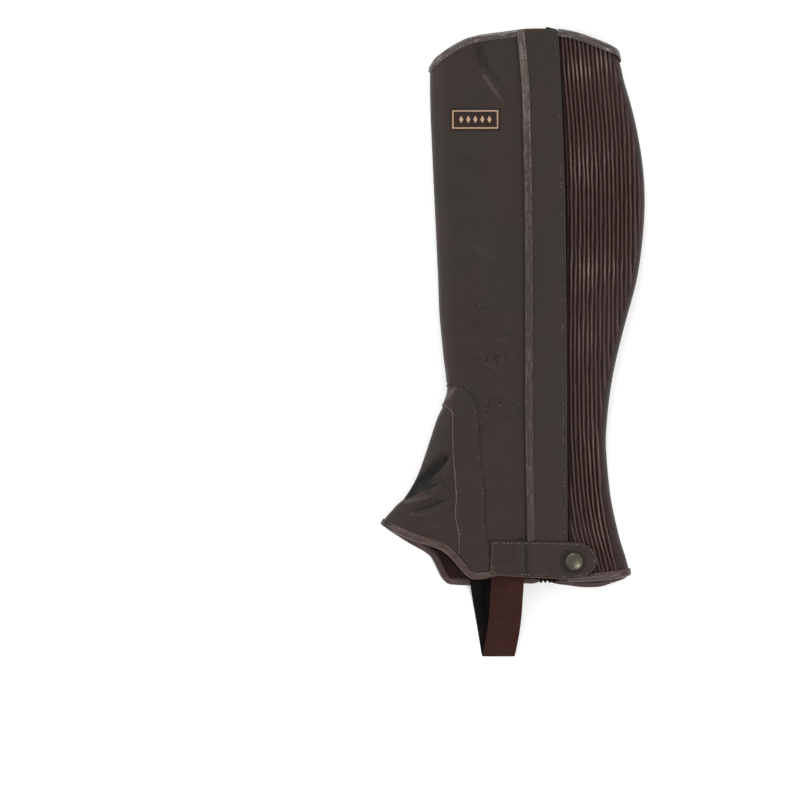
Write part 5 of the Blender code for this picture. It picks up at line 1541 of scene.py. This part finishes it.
# %% Tab
def tab_at(along, across):
    """Place across the chap and height on the tab; along runs from 0 to 1 and across from
    -1 to 1. The last part curls into a half round."""
    straight = np.clip(along / (1 - TAB_ROUND_SHARE), 0, 1)
    curl = np.clip((along - 1 + TAB_ROUND_SHARE) / TAB_ROUND_SHARE, 0, 1)
    x = (TAB_START + (TAB_END - TAB_ROUND_LENGTH - TAB_START) * straight
         + TAB_ROUND_LENGTH * curl * np.sqrt(1 - across * across / 2))
    share = np.clip((x - TAB_START) / (60 * MM), 0, 1)
    middle = TAB_HEIGHT + (1.3 - 2.0 * share) * MM
    half = TAB_HALF_WIDTH + (1.3 * share - 0.6) * MM
    return x, middle + half * across * np.sqrt(1 - curl * curl / 2)


def tab_lift(x, height):
    """Middle of the tab over the wall, higher where it passes over the hem's binding."""
    lift = follow(TAB_LIFT, x)
    over_hem = TAB_HEM_LIFT + (lift - TAB_HEM_LIFT) * ramp(height, *TAB_HEM_RAMP)
    return np.maximum(lift, over_hem)


TAB_SEAM, TAB_LENGTH = 2.0 * MM, 88 * MM
along, across = np.meshgrid(stations(TAB_LENGTH, 1.4 * MM),
                            2 * stations(2 * TAB_HALF_WIDTH, 1.4 * MM) - 1)
x, height = tab_at(along, across)
angle, lift = angle_at(x, height, 1), tab_lift(x, height)
distance = from_edge(place(angle, height, lift))
bend = 1 - ramp(np.abs(x - 9.8 * MM), 0.4 * MM, 1.8 * MM)
from_snap = np.hypot(x - SNAP_X, height - SNAP_HEIGHT)
to_the_left = np.clip((SNAP_X - x) / (8 * MM), 0, 1)
pucker = (ramp(from_snap, 5.0 * MM, 7.0 * MM)
          * (1 - ramp(from_snap - 3.0 * MM * to_the_left, 7.8 * MM, 10.5 * MM)))
outer = place(angle, height, lift + TAB / 2 - rounded(distance, 0.6 * MM)
              - furrow(distance, TAB_SEAM, depth=0.2 * MM) - 0.45 * MM * bend
              - 0.25 * MM * pucker)
raw = np.where((across < 0) | (x > 52 * MM), 1.25, 0.25)
# The fold mark paints shade along the tab's bend over the flap's edge and in a ring round the
# snap, wider to its left.
snap_tab = shell("snap_tab_leather", outer, place(angle, height, lift - TAB / 2), tab_look,
                 "tab_leather", ["snap_tab"], worn=0.1, edge=raw * rubbing(distance),
                 fold=1.15 * bend + pucker)
a, c = TAB_SEAM / TAB_LENGTH, TAB_SEAM / TAB_HALF_WIDTH
run_along, run_across = np.linspace(a, 1 - a, 260), np.linspace(-1 + c, 1 - c, 120)
along = np.concatenate([run_along, 0 * run_across + 1 - a, run_along[::-1], 0 * run_across + a])
across = np.concatenate([0 * run_along - 1 + c, run_across, 0 * run_along + 1 - c,
                         run_across[::-1]])
x, height = tab_at(along, across)
angle = angle_at(x, height, 1)
sew("snap_tab_stitches", [path_on(angle, height, tab_lift(x, height) + TAB / 2 - 0.18 * MM)],
    thread_look, "tab_leather", radius=0.26 * MM)

# %% Snap
CAP_PROFILE = np.array([
    (0.0, 2.25), (0.9, 2.24), (2.1, 2.18), (3.2, 2.06), (4.3, 1.88), (5.3, 1.66), (5.9, 1.46),
    (6.15, 1.30), (6.3, 1.28), (6.5, 1.34), (6.8, 1.22), (7.05, 0.95), (7.15, 0.60),
    (7.1, 0.25), (6.9, 0.02), (6.3, 0.0), (3.0, 0.0), (0.0, 0.0)]) * MM
STUD_PROFILE = np.array([
    (0.0, 1.7), (2.3, 1.7), (2.75, 1.6), (2.95, 1.35), (2.8, 1.05), (3.0, 0.8), (3.9, 0.6),
    (4.2, 0.35), (4.15, 0.02), (3.0, 0.0), (0.0, 0.0)]) * MM
snap_angle = float(angle_at(np.array(SNAP_X), np.array(SNAP_HEIGHT), 1))
snap_normal = normal(np.array(snap_angle), np.array(SNAP_HEIGHT))
snap_across = unit(np.cross([0.0, 1.0, 0.0], snap_normal))
snap_along = np.cross(snap_normal, snap_across)


def turned(name, profile, offset, steps, look, node):
    """Profile of radius and height carried round the wall's normal at the snap. Its first
    and last points are on the axis, so fans of triangles close the form."""
    turn = np.arange(steps) * 2 * HALF_TURN / steps
    foot = place(np.array(snap_angle), np.array(SNAP_HEIGHT), offset)
    radius, rise = profile[1:-1, 0][:, None, None], profile[1:-1, 1][:, None, None]
    rings = (foot + radius * (np.cos(turn)[:, None] * snap_across
                              + np.sin(turn)[:, None] * snap_along) + rise * snap_normal)
    poles = foot + profile[[0, -1], 1][:, None] * snap_normal
    points = np.concatenate([rings.reshape(-1, 3), poles])
    count, top = len(profile) - 2, (len(profile) - 2) * steps
    faces = []
    for i in range(steps):
        j = (i + 1) % steps
        faces += [[k * steps + i, (k + 1) * steps + i, (k + 1) * steps + j, k * steps + j]
                  for k in range(count - 1)]
        faces += [[top, i, j], [top + 1, (count - 1) * steps + j, (count - 1) * steps + i]]
    mesh_piece(name, points, faces, look, [node], sharp=60)


tab_top = float(tab_lift(np.array(SNAP_X), np.array(SNAP_HEIGHT))) + TAB / 2
turned("snap_cap_brass", CAP_PROFILE, tab_top + 0.05 * MM, 64, brass_look,
       "snap_cap")
turned("snap_stud_brass", STUD_PROFILE, RIB_CREST + 0.4 * MM, 48, brass_look,
       "snap_stud")

# %% [markdown]
# ## Stirrup strap
#
# The strap that goes under the boot is a loop of flat woven elastic, red-brown on its
# outside and black inside. It hangs inside the outer wall, leaves the hem, folds on the
# surface and comes back up to the inner wall. It is a ribbon along a curve through a table
# of points, with the cloth's weave on its map of the flat cut.

# %% Strap
top_angle = angle_at(STRAP_TOP_X, STRAP_TOP_HEIGHTS, 1)
top = (wall(top_angle, STRAP_TOP_HEIGHTS)
       + normal(top_angle, STRAP_TOP_HEIGHTS) * STRAP_WALL_OFFSET)
strap_x = np.concatenate([STRAP_TOP_X + 0 * STRAP_TOP_HEIGHTS, STRAP_LOOP["x"]])
strap_height = np.concatenate([STRAP_TOP_HEIGHTS, STRAP_LOOP["height"]])
strap_z = np.concatenate([top[:, 2], STRAP_LOOP["z"]])
strap_run = np.concatenate([[0.0], np.cumsum(np.hypot(np.diff(strap_height),
                                                      np.diff(strap_z)))])


def strap_at(at, across, out):
    """Point of the strap: a distance along it, one across it and one out of its face."""
    def read(values, shift=0.0):
        """Value at the distance, or a little before or after it."""
        return smooth(at + shift, strap_run, values)
    small = 0.05 * MM
    here = np.stack([read(strap_x) + HEM_X + across, read(strap_height) + HEM_Y,
                     read(strap_z)], axis=-1)
    climb = read(strap_height, small) - read(strap_height, -small)
    rise = read(strap_z, small) - read(strap_z, -small)
    face = np.stack([0 * at, rise, -climb], axis=-1) / np.hypot(climb, rise)[..., None]
    return here + face * out[..., None]


across, at = np.meshgrid((stations(STRAP_WIDTH, 1.0 * MM, (0, 0.2, 0.5, 1.0, 1.6)) - 0.5)
                         * STRAP_WIDTH, np.linspace(0.0, strap_run[-1], 241))
half = STRAP / 2 - rounded(STRAP_WIDTH / 2 - np.abs(across), 0.6 * MM)
ridges = 0.05 * MM * np.cos(across / (1.3 * MM) * 2 * HALF_TURN)
stirrup_strap = shell("stirrup_strap_elastic", strap_at(at, across, half + ridges),
                      strap_at(at, across, -half - ridges), strap_look, "strap_elastic",
                      ["stirrup_strap"])

# %% [markdown]
# ## Slider and pull
#
# The slider is cast metal: a plate that is widest where the two rows of teeth part, with a
# bridge that holds the pull. Both are flat forms whose half width is a table along the zip,
# so each is a small shell with rounded edges, domed a little in the middle.

# %% Slider and pull
SLIDER_WIDTHS = table("along half_width", (
    (0, 2.9), (0.25, 3.1), (0.5, 3.6), (0.75, 4.1), (1, 3.4)), ratios="along")
PULL_WIDTHS = table("along half_width", (
    (0, 2.6), (0.25, 2.9), (0.5, 2.2), (0.75, 1.6), (1, 1.8)), ratios="along")


def small_plate(name, node, base, length, widths, bottom, top):
    """Plate along the zip's middle line, as wide as its table says."""
    across, along = np.meshgrid(2 * stations(6 * MM, 0.7 * MM, (0, 0.1, 0.3, 0.6)) - 1,
                                stations(length, 0.6 * MM, (0, 0.1, 0.3, 0.6)))
    half = follow(widths, along)
    height = base + along * length
    angle = angle_at(ZIP_X + across * half, height, 1)
    distance = from_edge(place(angle, height, top))
    domed = top - rounded(distance, 0.5 * MM) - 0.25 * MM * across ** 2
    shell(name, place(angle, height, domed), place(angle, height, bottom + 0 * domed),
          silver_look, "zip_metal", [node])


PULL_LENGTH = 24 * MM
small_plate("zip_slider_metal", "zip_slider", SLIDER_HEIGHT, 10.5 * MM, SLIDER_WIDTHS,
            -0.95 * MM, 2.25 * MM)
small_plate("zip_pull_metal", "zip_pull", SLIDER_HEIGHT - PULL_LENGTH, PULL_LENGTH - GAP,
            PULL_WIDTHS, 1.2 * MM + GAP, 2.2 * MM)

# %% [markdown]
# ## Sheets and their flat sizes

# %% [markdown]
# ## Floor, light and camera
#
# The photograph is a plain studio one: straight down on a pale surface, with soft light from
# both sides and hardly a shadow. A ring of white would wash the dark leather out, so the
# light comes from large soft lamps at the sides, the sky is dimmer than white, and the floor
# glows a little, enough to run to white. The camera has a long lens, which keeps the outline
# true.

# %% Floor
FLOOR_HALF = 6.0
floor_mesh = bpy.data.meshes.new("floor")
floor_mesh.from_pydata([(x * FLOOR_HALF, y * FLOOR_HALF, 0) for x, y in
                        ((-1, -1), (1, -1), (1, 1), (-1, 1))], [], [(0, 1, 2, 3)])
floor_look, tree, shader = material("pale_floor", 0.9, Specular_IOR_Level=0.2,
                                   Emission_Strength=0.22)
feed(tree, shader.inputs["Base Color"],
     mix(tree, noise(tree, spot(tree), 3.0, 2.0), (0.93, 0.93, 0.93), (0.95, 0.95, 0.95)))
floor_mesh.materials.append(floor_look)
floor = in_scene("floor", floor_mesh)

# %% Lamps and sky
from mathutils import Vector

LAMPS = (
    ("left_lamp", (-1.9, 0.35, 1.25), 1.3, 14.0, (0.97, 0.99, 1.0)),
    ("right_lamp", (1.1, -1.0, 2.2), 0.55, 21.5, (1.0, 0.99, 0.97)),
    ("top_lamp", (-0.3, 2.0, 1.6), 0.8, 22.0, (1.0, 1.0, 1.0)),
)
for name, at, size, power, tint in LAMPS:
    lamp = bpy.data.lights.new(name, "AREA")
    lamp.shape = "SQUARE"
    lamp.size = size
    lamp.energy = power
    lamp.color = tint
    holder = in_scene(name, lamp)
    holder.location = at
    holder.rotation_euler = (-Vector(at)).to_track_quat("-Z", "Y").to_euler()
    holder.visible_camera = False
sky = bpy.data.worlds.new("studio_sky")
sky.use_nodes = True
sky.node_tree.nodes["Background"].inputs["Color"].default_value = (1.0, 1.0, 1.0, 1.0)
sky.node_tree.nodes["Background"].inputs["Strength"].default_value = 0.75
bpy.context.scene.world = sky
bpy.context.scene.view_settings.view_transform = "Standard"

# %% Camera
LENS, SENSOR = 500.0, 36.0
FRAME_WIDTH = 0.640
CENTRE_X, CENTRE_Y, FOLD_LEVEL = -0.0906, -0.0468, 0.012
camera = bpy.data.cameras.new("camera")
camera.lens = LENS
camera.sensor_width = SENSOR
camera.clip_end = 100.0
viewer = in_scene("camera", camera)
viewer.location = (CENTRE_X, CENTRE_Y, FOLD_LEVEL + FRAME_WIDTH * LENS / SENSOR)
bpy.context.scene.camera = viewer
